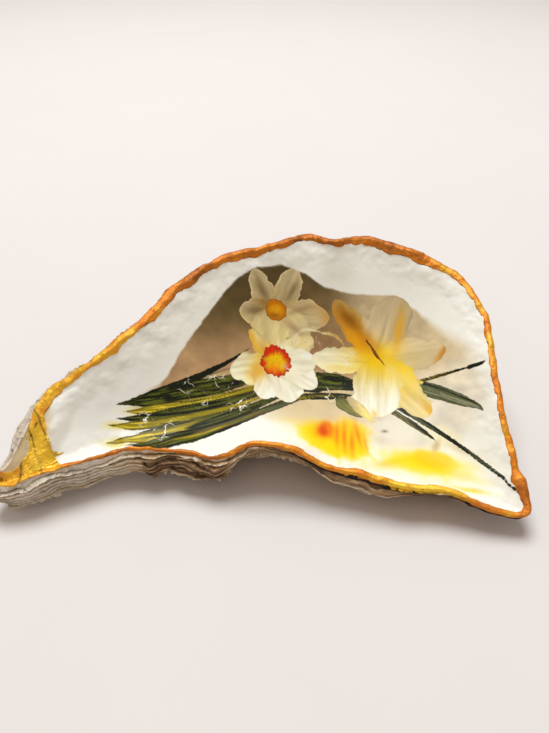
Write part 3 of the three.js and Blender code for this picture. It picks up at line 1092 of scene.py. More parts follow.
@dataclass
class Gilding:
    """Gold paint on the lip and the hinge plate, a thin film that dips under where it stops."""

    form: ShellForm
    plates: GrowthPlates
    columns: int = 1320
    film: float = 0.2
    dip: float = 0.3
    deep_insets: tuple = (22.0, 3.0, 38)
    near_insets: tuple = (3.0, 0.12, 22)
    crown_steps: int = 8
    outer_reach: float = 3.4
    outer_rows: int = 17
    strips: int = 5
    # Station on the margin, tone (0 amber to 1 yellow), reach down the inside, reach down the outside.
    brushwork: tuple = (
        (0.0, 0.40, 0.0, 0.5), (2.0, 0.46, 0.1, 0.6), (3.0, 0.46, 0.4, 0.8), (4.3, 0.30, 1.5, 0.9),
        (6.0, 0.14, 1.6, 0.9), (7.2, 0.10, 1.0, 0.9), (8.2, 0.14, 0.5, 0.9), (9.5, 0.14, 0.9, 0.9),
        (11.5, 0.12, 0.9, 0.9), (13.0, 0.26, 0.9, 0.9), (15.0, 0.60, 0.5, 1.0), (16.0, 0.75, 1.2, 1.0),
        (17.2, 0.72, 1.0, 1.0), (18.2, 0.70, 1.4, 0.7), (19.2, 0.80, 0.9, -0.3), (20.5, 0.90, -0.9, -1.5),
        (21.6, 0.90, -0.7, -1.5), (22.6, 0.80, 1.5, 0.0), (24.2, 0.55, 0.8, 0.2), (25.2, 0.25, -1.1, 0.4),
        (27.0, 0.15, -1.2, 0.4), (29.0, 0.10, -0.9, 0.9), (30.5, 0.45, -0.7, 0.7), (33.0, 0.36, -0.5, 0.7),
        (35.0, 0.55, -0.4, 1.3), (37.0, 0.95, -0.2, 1.9), (38.2, 0.42, -0.1, 1.7), (39.5, 0.26, 0.1, 1.9),
        (40.5, 0.22, 0.7, 1.8), (41.3, 0.20, 1.1, 1.4), (42.2, 0.40, 0.0, 0.6),
    )
    # Plan of the line on the hinge plate where the gold meets the white paint, from near to far.
    plate_line: tuple = (
        (-38.0, -55.0), (-34.0, -57.2), (-32.0, -58.6), (-28.7, -60.8), (-26.0, -62.4), (-22.1, -64.0),
        (-20.5, -63.2), (-17.3, -61.2), (-14.3, -58.4), (-10.0, -66.0), (0.0, -90.0),
    )
    # Where each crack crosses the hinge plate, and how much it slants.
    plate_cracks: tuple = ((-65.4, 0.5), (-69.6, 0.2), (-60.6, 0.62))

    def build(self, finish: GoldPaintFinish) -> bpy.types.Object:
        """Builds the piece and dresses it."""
        turn = np.arange(self.columns) / self.columns
        lip = self.form.lip(turn)
        tone, inner_reach, outer_reach = self.strokes(turn, lip)
        hollow, inset = self.hollow_rows(lip)
        crown = np.stack([crown_points(lip, share) for share in np.linspace(0.0, 1.0, self.crown_steps)])
        down = (np.arange(self.outer_rows) + 1) / self.outer_rows * self.outer_reach
        base = np.concatenate([self.form.rippled(hollow), self.form.rippled(crown),
                               self.outside_rows(turn, lip, down)])
        noise = self.plates.noise
        ragged = 0.30 * noise.layered(base + 60.0, 1.8, 4) + 0.42 * noise.layered(base, 7.0, 2)
        beyond = self.beyond_plate_line(hollow)
        plate_mask = np.minimum(1.6 * beyond, inset + np.minimum(inner_reach, 0.0))
        inside_mask = np.maximum(inner_reach[None] - inset, plate_mask)
        across = np.linspace(0.0, self.form.lip_width, self.crown_steps)[:, None]
        crown_mask = np.minimum(inner_reach + across, outer_reach + self.form.lip_width - across)
        outside_mask = outer_reach[None] - down[:, None]
        mask = np.concatenate([inside_mask, crown_mask, outside_mask]) + ragged
        grid = Grid(base, closed=True)
        normal = grid.normals()
        soft = np.full(base.shape[:2], 0.13)
        soft[: len(hollow)] = lerp(0.13, 0.5, smoothstep(2.0, 4.0, inset))
        height = lerp(-self.dip, self.film, smoothstep(-soft, soft, mask))
        lumps = 0.16 * self.plates.noise.layered(base + 20.0, 1.3, 3) * smoothstep(0.1, 0.6, mask)
        grid.points = base + normal * (height + lumps)[..., None]
        grid.floats["tone"] = self.tone_map(base, tone, beyond, len(hollow))
        grid.floats["crevice_shade_and_cracks"] = self.crevice_map(base, mask)
        cells = grid.cells()
        inside = mask > -soft - 0.15
        corners = grid.corners(cells)
        keep = inside[corners[..., 0], corners[..., 1] % self.columns].any(1)
        cells = cells[keep]
        piece = build_object("gilding", grid, cells, self.strip_uv(grid, cells))
        piece.data.materials.append(finish.build())
        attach(piece, "root")
        return piece

    def strokes(self, turn: Array, lip: LipSection) -> tuple[Array, Array, Array]:
        """Tone and reach of the brush at each place on the margin."""
        work = np.array(self.brushwork)
        station = turn * STATIONS
        columns = [np.interp(station, work[:, 0], work[:, i], period=STATIONS) for i in (1, 2, 3)]
        return columns[0], columns[1], np.minimum(columns[2], lip.edge * 0.8)

    def hollow_rows(self, lip: LipSection) -> tuple[Array, Array]:
        """Rows of the hollow near the lip, and how far each point lies in from the lip's edge."""
        hub = np.array(self.form.hub) + self.form.shift
        reach = lip.inner[:, :2] - hub
        length = np.linalg.norm(reach, axis=1)
        square = np.maximum((reach * lip.out).sum(1) / length, 0.5)
        insets = np.concatenate([np.linspace(*self.deep_insets)[:-1], np.linspace(*self.near_insets)])
        inset = np.repeat(insets[:, None], len(length), 1)
        plan = hub + reach[None] * (1.0 - inset / (length * square)[None])[..., None]
        height = self.form.hollow_height(plan.reshape(-1, 2)).reshape(inset.shape)
        return np.concatenate([plan, height[..., None]], -1), inset

    def beyond_plate_line(self, points: Array) -> Array:
        """How far a point lies past the white paint's edge on the hinge plate."""
        line = np.array(self.plate_line)
        return np.interp(points[..., 1], line[:, 0], line[:, 1]) - points[..., 0]

    def outside_rows(self, turn: Array, lip: LipSection, down: Array) -> Array:
        """Rows on the outside, at even steps down from the top of the lip."""
        fine = np.linspace(0.0, 1.0, 60)
        face, _ = RawOutside(self.form, self.plates).build(turn, fine, np.zeros(0))
        share = np.clip(down[:, None] / lip.edge[None], 0.0, 1.0) * (len(fine) - 1)
        low = np.minimum(np.floor(share).astype(int), len(fine) - 2)
        step = (share - low)[..., None]
        column = np.arange(len(turn))[None]
        return lerp(face[low, column], face[low + 1, column], step)

    def tone_map(self, base: Array, tone: Array, beyond: Array, hollow_rows: int) -> Array:
        """The paint's tone, brighter on the hinge plate."""
        tones = np.repeat(tone[None], len(base), 0)
        plate = smoothstep(-1.5, 0.5, beyond)
        tones[:hollow_rows] = lerp(tones[:hollow_rows], 0.85, plate)
        return np.clip(tones + 0.28 * self.plates.noise.layered(base + 30.0, 5.0, 3), 0.0, 1.0)

    def crevice_map(self, base: Array, mask: Array) -> Array:
        """Dark cracks across the hinge plate and crumbs along the paint's edge."""
        local = base[..., :2] - self.form.shift
        sway = 1.2 * self.plates.noise.layered(base + 70.0, 6.0, 3)
        plate = smoothstep(-59.0, -62.0, local[..., 0]) * smoothstep(-14.0, -18.0, local[..., 1])
        cracks = np.zeros(mask.shape)
        for start, slope in self.plate_cracks:
            crack = np.abs(local[..., 0] - start + slope * (local[..., 1] + 30.0) + 0.6 * sway)
            cracks = np.maximum(cracks, smoothstep(0.38, 0.1, crack) * plate)
        crumbs = smoothstep(0.35, 0.05, np.abs(mask)) * smoothstep(0.2, 0.5, self.plates.noise.at(base, 1.1))
        return np.clip(0.8 * cracks + 0.9 * crumbs, 0.0, 1.0)

    def strip_uv(self, grid: Grid, cells: Array) -> Array:
        """Map places that lay the band out as several strips, one above the other."""
        corners = grid.corners(cells)
        per_strip = self.columns / self.strips
        strip = np.floor(cells[:, 1] / per_strip)
        along = (corners[..., 1] - strip[:, None] * per_strip) / per_strip
        across = corners[..., 0] / (len(grid.points) - 1)
        return np.stack([0.005 + 0.99 * along, (strip[:, None] + 0.02 + 0.96 * across) / self.strips], -1)


# The print ----------------------------------------------------------------------------------


class Ink(Enum):
    """The paint's and the print's colours, as display values."""

    WHITE_PAINT = (252, 252, 242)
    SMOKE = (92, 76, 42)
    UMBER = (120, 98, 60)
    TAN = (194, 156, 112)
    CLAY = (160, 124, 84)
    SAND = (206, 186, 144)
    BISCUIT = (224, 202, 158)
    CHALK = (236, 229, 210)
    DARK_LEAF = (22, 27, 12)
    GREEN_LEAF = (98, 104, 30)
    GREY_LEAF = (92, 100, 66)
    OLIVE_LEAF = (156, 138, 18)
    LIME_LEAF = (238, 212, 60)
    BROWN_LEAF = (104, 84, 42)
    SAGE = (150, 152, 122)
    STRAW = (206, 186, 128)
    DUSTY_PETAL = (184, 160, 106)
    GREY_PETAL = (210, 192, 146)
    CREAM_PETAL = (242, 222, 156)
    IVORY_PETAL = (252, 244, 206)
    WHITE_PETAL = (254, 250, 226)
    BUTTER = (250, 224, 120)
    YELLOW = (255, 208, 2)
    LEMON = (255, 222, 4)
    GOLDEN = (240, 166, 12)
    AMBER = (202, 120, 6)
    BURNT = (140, 84, 8)
    ORANGE = (244, 128, 16)
    RED = (212, 46, 8)
    RUST = (128, 62, 20)

    @property
    def rgb(self) -> Array:
        """The colour as three numbers from 0 to 1."""
        return np.array(self.value) / 255.0


Place = tuple[float, float]


def grain(noise: Noise, across: Array, along: Array, offset: float, layers: int = 3) -> Array:
    """Noise on a flat sheet, told apart between shapes by an offset."""
    return noise.layered(np.stack([across, along, np.full(across.shape, offset)], -1), 1.0, layers)


def cloud(noise: Noise, places: Array, size: float, offset: float, layers: int = 3) -> Array:
    """Clouds of a size in millimetres at places on the sheet."""
    return grain(noise, places[:, 0] / size, places[:, 1] / size, offset, layers)


@dataclass(frozen=True)
class Petal:
    """One soft petal, in sheet millimetres."""

    base: Place
    tip: Place
    half_width: float
    root: Ink
    end: Ink
    full: float = 0.8
    outline: float = 0.09
    ruffle: float = 0.34
    ruffle_size: float = 3.0
    streak: float = 0.10

    def measure(self, places: Array, noise: Noise) -> tuple[Array, Array]:
        """Distance inside the petal's edge, and the petal's colour, at each place."""
        base, tip = np.array(self.base), np.array(self.tip)
        length = np.linalg.norm(tip - base)
        axis = (tip - base) / length
        along = (places - base) @ axis / length
        across = (places - base) @ np.array([-axis[1], axis[0]])
        offset = self.tip[0] * 3.7 + self.tip[1]
        profile = np.sin(math.pi * np.clip(along, 0.0, 1.0) ** self.full).clip(0.0) ** 0.5
        ruffle = 1.0 + self.ruffle * cloud(noise, places, self.ruffle_size, offset)
        edge = np.minimum(self.half_width * profile * ruffle - np.abs(across), (1.0 - along) * length)
        edge = np.minimum(edge, along * length + 0.4)
        bent = across + 0.9 * grain(noise, along * 2.6, across * 0.25, offset + 3.0)
        streak = grain(noise, bent * 0.8, along * 2.2, offset + 9.0, 4)
        share = smoothstep(0.05, 0.85, along + self.streak * streak)
        colour = lerp(self.root.rgb, self.end.rgb, share[:, None])
        side = np.tanh(1.6 * across / self.half_width)
        vein = np.exp(-((across - 0.5) / 0.35) ** 2) * smoothstep(0.95, 0.5, along)
        rim = self.outline * smoothstep(0.9, 0.0, edge)
        shade = 1.0 + self.streak * streak + 0.03 * side - 0.06 * vein - rim
        return edge, colour * shade[:, None]


@dataclass(frozen=True)
class Blade:
    """One long leaf or stem along a bent line, in sheet millimetres."""

    start: Place
    bend: Place
    end: Place
    half_width: float
    dark: Ink
    light: Ink
    root_taper: float = 0.02
    outline: float = 0.35
    wobble: float = 0.25
    line_points: int = 70
    surround: float = 8.0

    def measure(self, places: Array, noise: Noise) -> tuple[Array, Array]:
        """Distance inside the leaf's edge, and the leaf's colour, at each place."""
        steps = np.linspace(0.0, 1.0, self.line_points)[:, None]
        line = ((1 - steps) ** 2 * np.array(self.start) + 2 * steps * (1 - steps) * np.array(self.bend)
                + steps**2 * np.array(self.end))
        edge = np.full(len(places), -self.surround)
        colour = np.repeat(self.dark.rgb[None], len(places), 0)
        near = ((places > line.min(0) - self.surround) & (places < line.max(0) + self.surround)).all(1)
        local = places[near]
        gap = local[:, None, :] - line[None]
        nearest = (gap**2).sum(2).argmin(1)
        heading = np.gradient(line, axis=0)
        heading /= np.linalg.norm(heading, axis=1)[:, None]
        normal = np.stack([-heading[:, 1], heading[:, 0]], -1)
        offset = gap[np.arange(len(local)), nearest]
        across = (offset * normal[nearest]).sum(1)
        beyond = np.abs((offset * heading[nearest]).sum(1))
        along = steps[nearest, 0]
        length = np.linalg.norm(np.diff(line, axis=0), axis=1).sum()
        seed = self.start[1] * 2.3 + self.end[1]
        taper = smoothstep(-self.root_taper, 0.3, along) ** 0.7 * (1.0 - along**3) ** 0.8
        wobble = 1.0 + self.wobble * grain(noise, along * length / 6.0, across * 0.1, seed)
        edge[near] = self.half_width * taper * wobble - np.hypot(across, beyond)
        streak = grain(noise, across * 2.4, along * length / 7.0, seed + 4.0, 4)
        share = smoothstep(-0.08, 0.30, streak)
        painted = lerp(self.dark.rgb, self.light.rgb, share[:, None])
        colour[near] = painted * (1.0 - self.outline * smoothstep(0.8, 0.0, edge[near]))[:, None]
        return edge, colour


@dataclass(frozen=True)
class Corona:
    """The frilled cup in the middle of a flower, in sheet millimetres."""

    centre: Place
    radius: float
    squash: float
    throat: Ink
    rim: Ink
    frills: int = 17
    frill_depth: float = 0.045

    def measure(self, places: Array, noise: Noise) -> tuple[Array, Array]:
        """Distance inside the cup's edge, and the cup's colour, at each place."""
        offset = (places - np.array(self.centre)) / np.array([1.0, self.squash])
        radius = np.linalg.norm(offset, axis=1)
        angle = np.arctan2(offset[:, 1], offset[:, 0])
        seed = self.centre[0]
        ragged = grain(noise, 2.2 * np.cos(angle), 2.2 * np.sin(angle), seed)
        frill = self.frill_depth * (np.sin(self.frills * angle + 5.0 * ragged) + 2.5 * ragged)
        edge = self.radius * (1.0 + frill) - radius
        share = radius / self.radius
        ray = grain(noise, 5.0 * np.cos(angle), 5.0 * np.sin(angle), seed + share)
        mix = smoothstep(0.35, 0.85, share + 0.35 * ray + 0.12 * offset[:, 1] / self.radius)
        colour = lerp(self.throat.rgb, self.rim.rgb, mix[:, None])
        shade = 1.0 + 0.16 * ray - 0.22 * smoothstep(0.5, 0.0, edge)
        return edge, colour * shade[:, None]


@dataclass(frozen=True)
class Glow:
    """A soft spot of ink with no edge, in sheet millimetres."""

    centre: Place
    along: float
    across: float
    lean: float
    ink: Ink
    strength: float = 0.8
    crisp: float = 1.0

    def share(self, places: Array, noise: Noise) -> Array:
        """How strongly it colours each place."""
        turn = math.radians(self.lean)
        offset = places - np.array(self.centre)
        along = offset @ np.array([math.cos(turn), math.sin(turn)]) / self.along
        across = offset @ np.array([-math.sin(turn), math.cos(turn)]) / self.across
        ragged = cloud(noise, places, 2.4, self.centre[1])
        reach = (along**2 + across**2) * (1.0 + 0.45 * ragged)
        return self.strength * np.exp(-1.1 * reach.clip(0.0) ** self.crisp)


@dataclass
class PaintLayer:
    """Shapes of one layer of the print, joined into one silhouette."""

    places: Array
    noise: Noise
    colour: Array = field(init=False)
    edge: Array = field(init=False)

    def __post_init__(self) -> None:
        """Starts with nothing painted."""
        self.colour = np.ones((len(self.places), 3))
        self.edge = np.full(len(self.places), -9.0)

    def lay(self, shape: Petal | Blade | Corona) -> None:
        """Lays a shape over those before it; outside them all the nearest shape's colour stands."""
        edge, colour = shape.measure(self.places, self.noise)
        share = smoothstep(-0.22, 0.22, edge)
        share = np.where((self.edge < 0.0) & (edge > self.edge), 1.0, share)
        self.colour = lerp(self.colour, colour, share[:, None])
        self.edge = np.maximum(self.edge, edge)

    def tint(self, glow: Glow) -> None:
        """Colours the layer softly without changing its silhouette."""
        share = glow.share(self.places, self.noise)
        self.colour = lerp(self.colour, glow.ink.rgb, share[:, None])


def inside_distance(places: Array, outline: Array) -> Array:
    """Distance inside a closed outline, negative outside it."""
    step = np.roll(outline, -1, 0) - outline
    offset = places[:, None, :] - outline[None]
    share = np.clip((offset * step).sum(2) / (step**2).sum(1), 0.0, 1.0)
    gap = np.linalg.norm(offset - step * share[..., None], axis=2).min(1)
    straddles = (offset[..., 1] < 0.0) != (offset[..., 1] - step[:, 1] < 0.0)
    height = np.where(step[:, 1] == 0.0, 1.0, step[:, 1])
    left = offset[..., 0] < step[:, 0] * offset[..., 1] / height
    inside = (straddles & left).sum(1) % 2 == 1
    return np.where(inside, gap, -gap)


@dataclass(frozen=True)
class Wash:
    """The print's clouded background: torn crisply above, fading out below and to the open end."""

    outline: tuple = (
        (-38.0, 0.5), (-34.8, 4.8), (-30.0, 11.0), (-24.8, 22.0), (-19.6, 31.4), (-14.5, 39.7), (-9.1, 47.2),
        (-2.2, 51.4), (6.3, 53.0), (15.0, 51.0), (22.3, 46.4), (31.0, 44.3), (46.7, 43.5), (53.3, 37.5),
        (60.5, 29.1), (67.5, 21.0), (70.0, 4.0), (62.0, -8.0), (52.0, -13.0), (38.0, -11.5), (31.0, -4.0),
        (20.0, -1.5), (8.0, 2.0), (-7.0, 3.5), (-22.0, -3.0),
    )
    tones: tuple = (
        ((3.0, 51.0), Ink.SMOKE), ((-11.0, 40.0), Ink.SMOKE), ((11.0, 47.0), Ink.SMOKE),
        ((-16.0, 32.5), Ink.UMBER), ((21.0, 43.0), Ink.UMBER), ((24.0, 27.0), Ink.CLAY),
        ((-24.0, 14.0), Ink.TAN), ((-12.0, 21.0), Ink.TAN), ((36.0, 39.0), Ink.SAND),
        ((52.0, 33.0), Ink.SAND), ((58.0, 22.0), Ink.BISCUIT), ((66.0, 8.0), Ink.CHALK),
        ((16.0, 3.0), Ink.BISCUIT), ((28.0, 0.0), Ink.BISCUIT), ((44.0, -6.0), Ink.CHALK),
    )
    blend: float = 7.0
    drift: float = 2.2
    drift_size: float = 6.0
    cloud_strength: float = 0.12
    cloud_size: float = 4.0
    tear: float = 0.35
    tear_size: float = 2.0
    edge_blur: float = 0.3

    def paint(self, places: Array, noise: Noise) -> tuple[Array, Array]:
        """The background's colour, and how strongly it covers the white paint."""
        total = np.zeros((len(places), 3))
        weight = np.zeros(len(places))
        drift = np.stack([cloud(noise, places, self.drift_size, offset) for offset in (3.0, 8.0)], -1)
        wander = places + self.drift * drift
        for place, ink in self.tones:
            share = np.exp(-((wander - np.array(place)) ** 2).sum(1) / (2.0 * self.blend**2)) + 1e-9
            total += share[:, None] * ink.rgb
            weight += share
        shade = 1.0 + self.cloud_strength * cloud(noise, places, self.cloud_size, 5.0, 5)
        colour = total / weight[:, None] * shade[:, None]
        parts = [inside_distance(part, np.array(self.outline)) for part in np.array_split(places, 12)]
        at_end = smoothstep(50.0, 68.0, places[:, 0]) * 3.0
        below = smoothstep(10.0, 4.0, places[:, 1]) * 3.2
        soft = self.edge_blur + np.maximum(at_end, below)
        distance = np.concatenate(parts) + self.tear * cloud(noise, places, self.tear_size, 1.0)
        return colour, smoothstep(-soft, soft, distance)


@dataclass(frozen=True)
class NarcissusPrint:
    """A loose bunch of narcissi lying with their leaves towards the beak, printed on thin paper."""

    wash: Wash = Wash()
    leaves: tuple = (
        Blade((-30.0, 5.0), (-14.0, 11.0), (0.0, 21.0), 2.4, Ink.TAN, Ink.STRAW),
        Blade((-44.5, 1.0), (-22.0, 8.5), (-3.0, 24.5), 1.2, Ink.DARK_LEAF, Ink.DARK_LEAF),
        Blade((-36.0, 3.8), (-18.0, 9.5), (4.0, 15.0), 2.7, Ink.DARK_LEAF, Ink.GREEN_LEAF),
        Blade((-44.5, 1.0), (-26.0, 4.5), (-4.0, 11.0), 2.3, Ink.DARK_LEAF, Ink.GREEN_LEAF),
        Blade((-42.0, -1.0), (-22.0, -0.5), (4.0, 12.5), 2.1, Ink.OLIVE_LEAF, Ink.LIME_LEAF),
        Blade((-44.0, -3.2), (-24.0, -3.6), (4.0, 10.0), 1.9, Ink.DARK_LEAF, Ink.GREEN_LEAF),
        Blade((-46.5, -5.2), (-28.0, -7.0), (4.0, 8.5), 1.6, Ink.OLIVE_LEAF, Ink.LIME_LEAF),
        Blade((-38.0, -7.6), (-20.0, -6.5), (8.0, 8.5), 1.9, Ink.DARK_LEAF, Ink.GREEN_LEAF),
        Blade((-46.5, -10.8), (-28.0, -9.0), (-6.0, 2.5), 1.6, Ink.OLIVE_LEAF, Ink.LIME_LEAF),
        Blade((-40.0, -11.8), (-19.0, -11.0), (10.0, 7.0), 2.3, Ink.DARK_LEAF, Ink.GREEN_LEAF),
        Blade((-24.0, -6.0), (-8.0, -0.6), (9.0, 8.4), 1.5, Ink.DARK_LEAF, Ink.GREEN_LEAF),
        Blade((-24.0, -9.0), (-8.0, -2.0), (16.0, 7.2), 1.5, Ink.BROWN_LEAF, Ink.GREY_LEAF),
        Blade((-30.0, 2.6), (-18.0, 3.4), (2.0, 12.4), 0.6, Ink.GREEN_LEAF, Ink.LIME_LEAF),
        Blade((-34.0, -4.6), (-20.0, -4.0), (2.0, 6.4), 0.5, Ink.GREEN_LEAF, Ink.LIME_LEAF),
        Blade((-34.0, -11.2), (-18.0, -9.6), (6.0, 5.0), 0.5, Ink.OLIVE_LEAF, Ink.LIME_LEAF),
        Blade((-41.0, -2.2), (-22.0, -2.0), (2.0, 7.5), 0.5, Ink.DARK_LEAF, Ink.DARK_LEAF),
        Blade((-36.0, -8.8), (-20.0, -8.0), (6.0, 5.0), 0.5, Ink.DARK_LEAF, Ink.DARK_LEAF),
        Blade((-34.0, -0.6), (-16.0, 2.5), (6.0, 11.5), 0.7, Ink.DARK_LEAF, Ink.GREEN_LEAF),
        Blade((13.0, 12.0), (24.0, 13.5), (36.0, 10.0), 3.6, Ink.DARK_LEAF, Ink.GREEN_LEAF, 1.2),
        Blade((10.0, 6.5), (24.0, 8.0), (36.0, 6.5), 1.3, Ink.DARK_LEAF, Ink.OLIVE_LEAF, 0.6),
        Blade((25.0, 6.5), (28.0, 3.5), (33.5, -0.5), 2.4, Ink.GREEN_LEAF, Ink.OLIVE_LEAF),
        Blade((44.0, 12.0), (57.0, 9.5), (68.5, -0.5), 2.7, Ink.GREY_LEAF, Ink.SAGE, 0.6),
        Blade((44.0, 13.5), (57.0, 12.0), (68.8, -0.2), 0.5, Ink.DARK_LEAF, Ink.GREY_LEAF, 0.6),
        Blade((48.0, 10.5), (60.0, 13.2), (70.5, 15.4), 0.6, Ink.DARK_LEAF, Ink.OLIVE_LEAF, 0.9),
        Blade((66.8, 14.4), (69.0, 15.0), (71.4, 15.8), 0.8, Ink.DARK_LEAF, Ink.DARK_LEAF, 0.6),
        Blade((40.0, 6.0), (57.0, -3.0), (86.0, -41.0), 0.85, Ink.DARK_LEAF, Ink.GREY_LEAF, 0.6),
        Blade((42.0, 2.5), (50.0, -3.5), (55.0, -9.5), 1.0, Ink.DARK_LEAF, Ink.OLIVE_LEAF, 0.6),
    )
    petals: tuple = (
        # The dusty flower at the back.
        Petal((4.6, 37.0), (-3.4, 50.5), 4.2, Ink.DUSTY_PETAL, Ink.GREY_PETAL, 1.1, -0.16),
        Petal((4.6, 37.0), (12.0, 52.0), 4.6, Ink.DUSTY_PETAL, Ink.GREY_PETAL, 1.1, -0.16),
        Petal((4.6, 37.0), (-8.0, 36.0), 4.4, Ink.BURNT, Ink.GREY_PETAL, 1.0, -0.16),
        Petal((4.6, 37.0), (23.5, 35.5), 5.8, Ink.DUSTY_PETAL, Ink.GREY_PETAL, 0.9, -0.12),
        Petal((6.6, 37.0), (16.0, 27.0), 5.2, Ink.CREAM_PETAL, Ink.GREY_PETAL),
        Petal((4.6, 38.0), (0.5, 22.0), 6.4, Ink.CREAM_PETAL, Ink.CREAM_PETAL, 0.9),
        # The white flower in the middle.
        Petal((4.9, 19.0), (-4.6, 30.0), 3.2, Ink.GOLDEN, Ink.CREAM_PETAL),
        Petal((4.9, 19.0), (17.5, 28.5), 4.8, Ink.IVORY_PETAL, Ink.CREAM_PETAL),
        Petal((4.9, 18.0), (-10.8, 14.5), 5.6, Ink.BUTTER, Ink.IVORY_PETAL, 1.0),
        Petal((4.9, 20.0), (0.0, 5.6), 5.6, Ink.IVORY_PETAL, Ink.WHITE_PETAL, 1.0, 0.03),
        Petal((4.9, 20.0), (10.0, 4.8), 6.2, Ink.IVORY_PETAL, Ink.WHITE_PETAL, 1.0, 0.03),
        Petal((4.9, 20.0), (18.6, 10.5), 5.0, Ink.IVORY_PETAL, Ink.WHITE_PETAL, 1.0, 0.03),
        Petal((4.9, 19.0), (18.5, 19.5), 5.4, Ink.IVORY_PETAL, Ink.WHITE_PETAL, 0.9, 0.03),
        # The large flower on the right.
        Blade((10.6, 25.4), (11.6, 34.0), (21.6, 30.0), 0.8, Ink.IVORY_PETAL, Ink.CREAM_PETAL, 0.6, 0.06),
        Blade((21.0, 30.2), (27.4, 30.0), (28.6, 25.0), 0.6, Ink.CREAM_PETAL, Ink.STRAW, 0.6, 0.06),
        Petal((39.6, 21.5), (25.4, 42.0), 4.8, Ink.GOLDEN, Ink.STRAW, 0.95),
        Petal((39.6, 21.5), (47.5, 43.0), 8.2, Ink.BISCUIT, Ink.SAND, 1.0, 0.05),
        Petal((39.6, 20.0), (61.5, 22.5), 6.2, Ink.CREAM_PETAL, Ink.BISCUIT, 1.0, 0.06),
        Petal((40.5, 20.0), (17.0, 21.0), 5.0, Ink.BUTTER, Ink.IVORY_PETAL, 1.0, 0.05),
        Petal((40.5, 20.5), (54.0, -1.0), 6.0, Ink.YELLOW, Ink.CREAM_PETAL, 0.9, 0.04),
        Petal((40.0, 22.5), (38.0, -0.6), 8.6, Ink.BUTTER, Ink.WHITE_PETAL, 1.25, 0.05),
        Petal((29.0, 7.0), (37.0, -2.5), 1.5, Ink.STRAW, Ink.BUTTER),
    )
    hearts: tuple = (
        Corona((4.6, 37.6), 3.9, 0.95, Ink.GOLDEN, Ink.AMBER, 9, 0.05),
        Corona((4.6, 19.4), 5.4, 1.02, Ink.YELLOW, Ink.RED, 17, 0.06),
    )
    petal_glows: tuple = (
        Glow((4.6, 36.5), 8.0, 6.5, 0.0, Ink.STRAW, 0.45),
        Glow((-0.5, 44.5), 4.6, 1.5, -62.0, Ink.UMBER, 0.75),
        Glow((10.5, 45.0), 4.6, 1.2, 62.0, Ink.UMBER, 0.65),
        Glow((-3.0, 37.0), 3.8, 1.6, 8.0, Ink.UMBER, 0.7),
        Glow((12.5, 38.0), 5.0, 1.0, 18.0, Ink.CLAY, 0.6),
        Glow((11.0, 31.5), 5.0, 1.3, -36.0, Ink.CLAY, 0.5),
        Glow((1.0, 29.0), 5.0, 1.0, 80.0, Ink.STRAW, 0.6),
        Glow((-3.8, 27.0), 6.0, 1.6, -66.0, Ink.GOLDEN, 0.65),
        Glow((-1.5, 15.5), 4.6, 3.0, 60.0, Ink.GOLDEN, 0.7),
        Glow((27.0, 36.0), 9.0, 5.5, -55.0, Ink.AMBER, 0.65),
        Glow((31.0, 34.5), 6.0, 2.2, -50.0, Ink.BURNT, 0.9),
        Glow((34.5, 26.0), 7.5, 3.2, -48.0, Ink.GOLDEN, 1.0),
        Glow((40.5, 20.5), 6.5, 5.6, 0.0, Ink.YELLOW, 0.95),
        Glow((37.0, 27.0), 6.0, 2.4, -50.0, Ink.AMBER, 0.6),
        Glow((47.5, 30.5), 8.0, 1.7, 80.0, Ink.GOLDEN, 0.7),
        Glow((61.0, 21.5), 5.5, 1.2, 58.0, Ink.AMBER, 0.8),
        Glow((52.0, 20.5), 7.0, 3.0, 10.0, Ink.STRAW, 0.5),
        Glow((46.5, 14.0), 7.5, 2.2, -58.0, Ink.BUTTER, 0.8),
        Glow((37.5, 0.6), 1.8, 1.2, 90.0, Ink.GOLDEN, 0.5),
        Glow((28.0, 17.5), 8.0, 1.4, -4.0, Ink.BUTTER, 0.7),
        Glow((55.0, 0.5), 4.5, 1.2, -62.0, Ink.GOLDEN, 0.6),
        Glow((57.0, -8.5), 2.4, 1.2, 60.0, Ink.STRAW, 0.7),
    )
    heart_glows: tuple = (
        Glow((4.0, 17.0), 2.6, 2.0, 0.0, Ink.ORANGE, 0.6),
        Glow((7.8, 17.8), 1.6, 1.1, 20.0, Ink.CHALK, 0.55),
        Glow((4.0, 35.8), 2.0, 0.9, 0.0, Ink.BURNT, 0.7),
    )
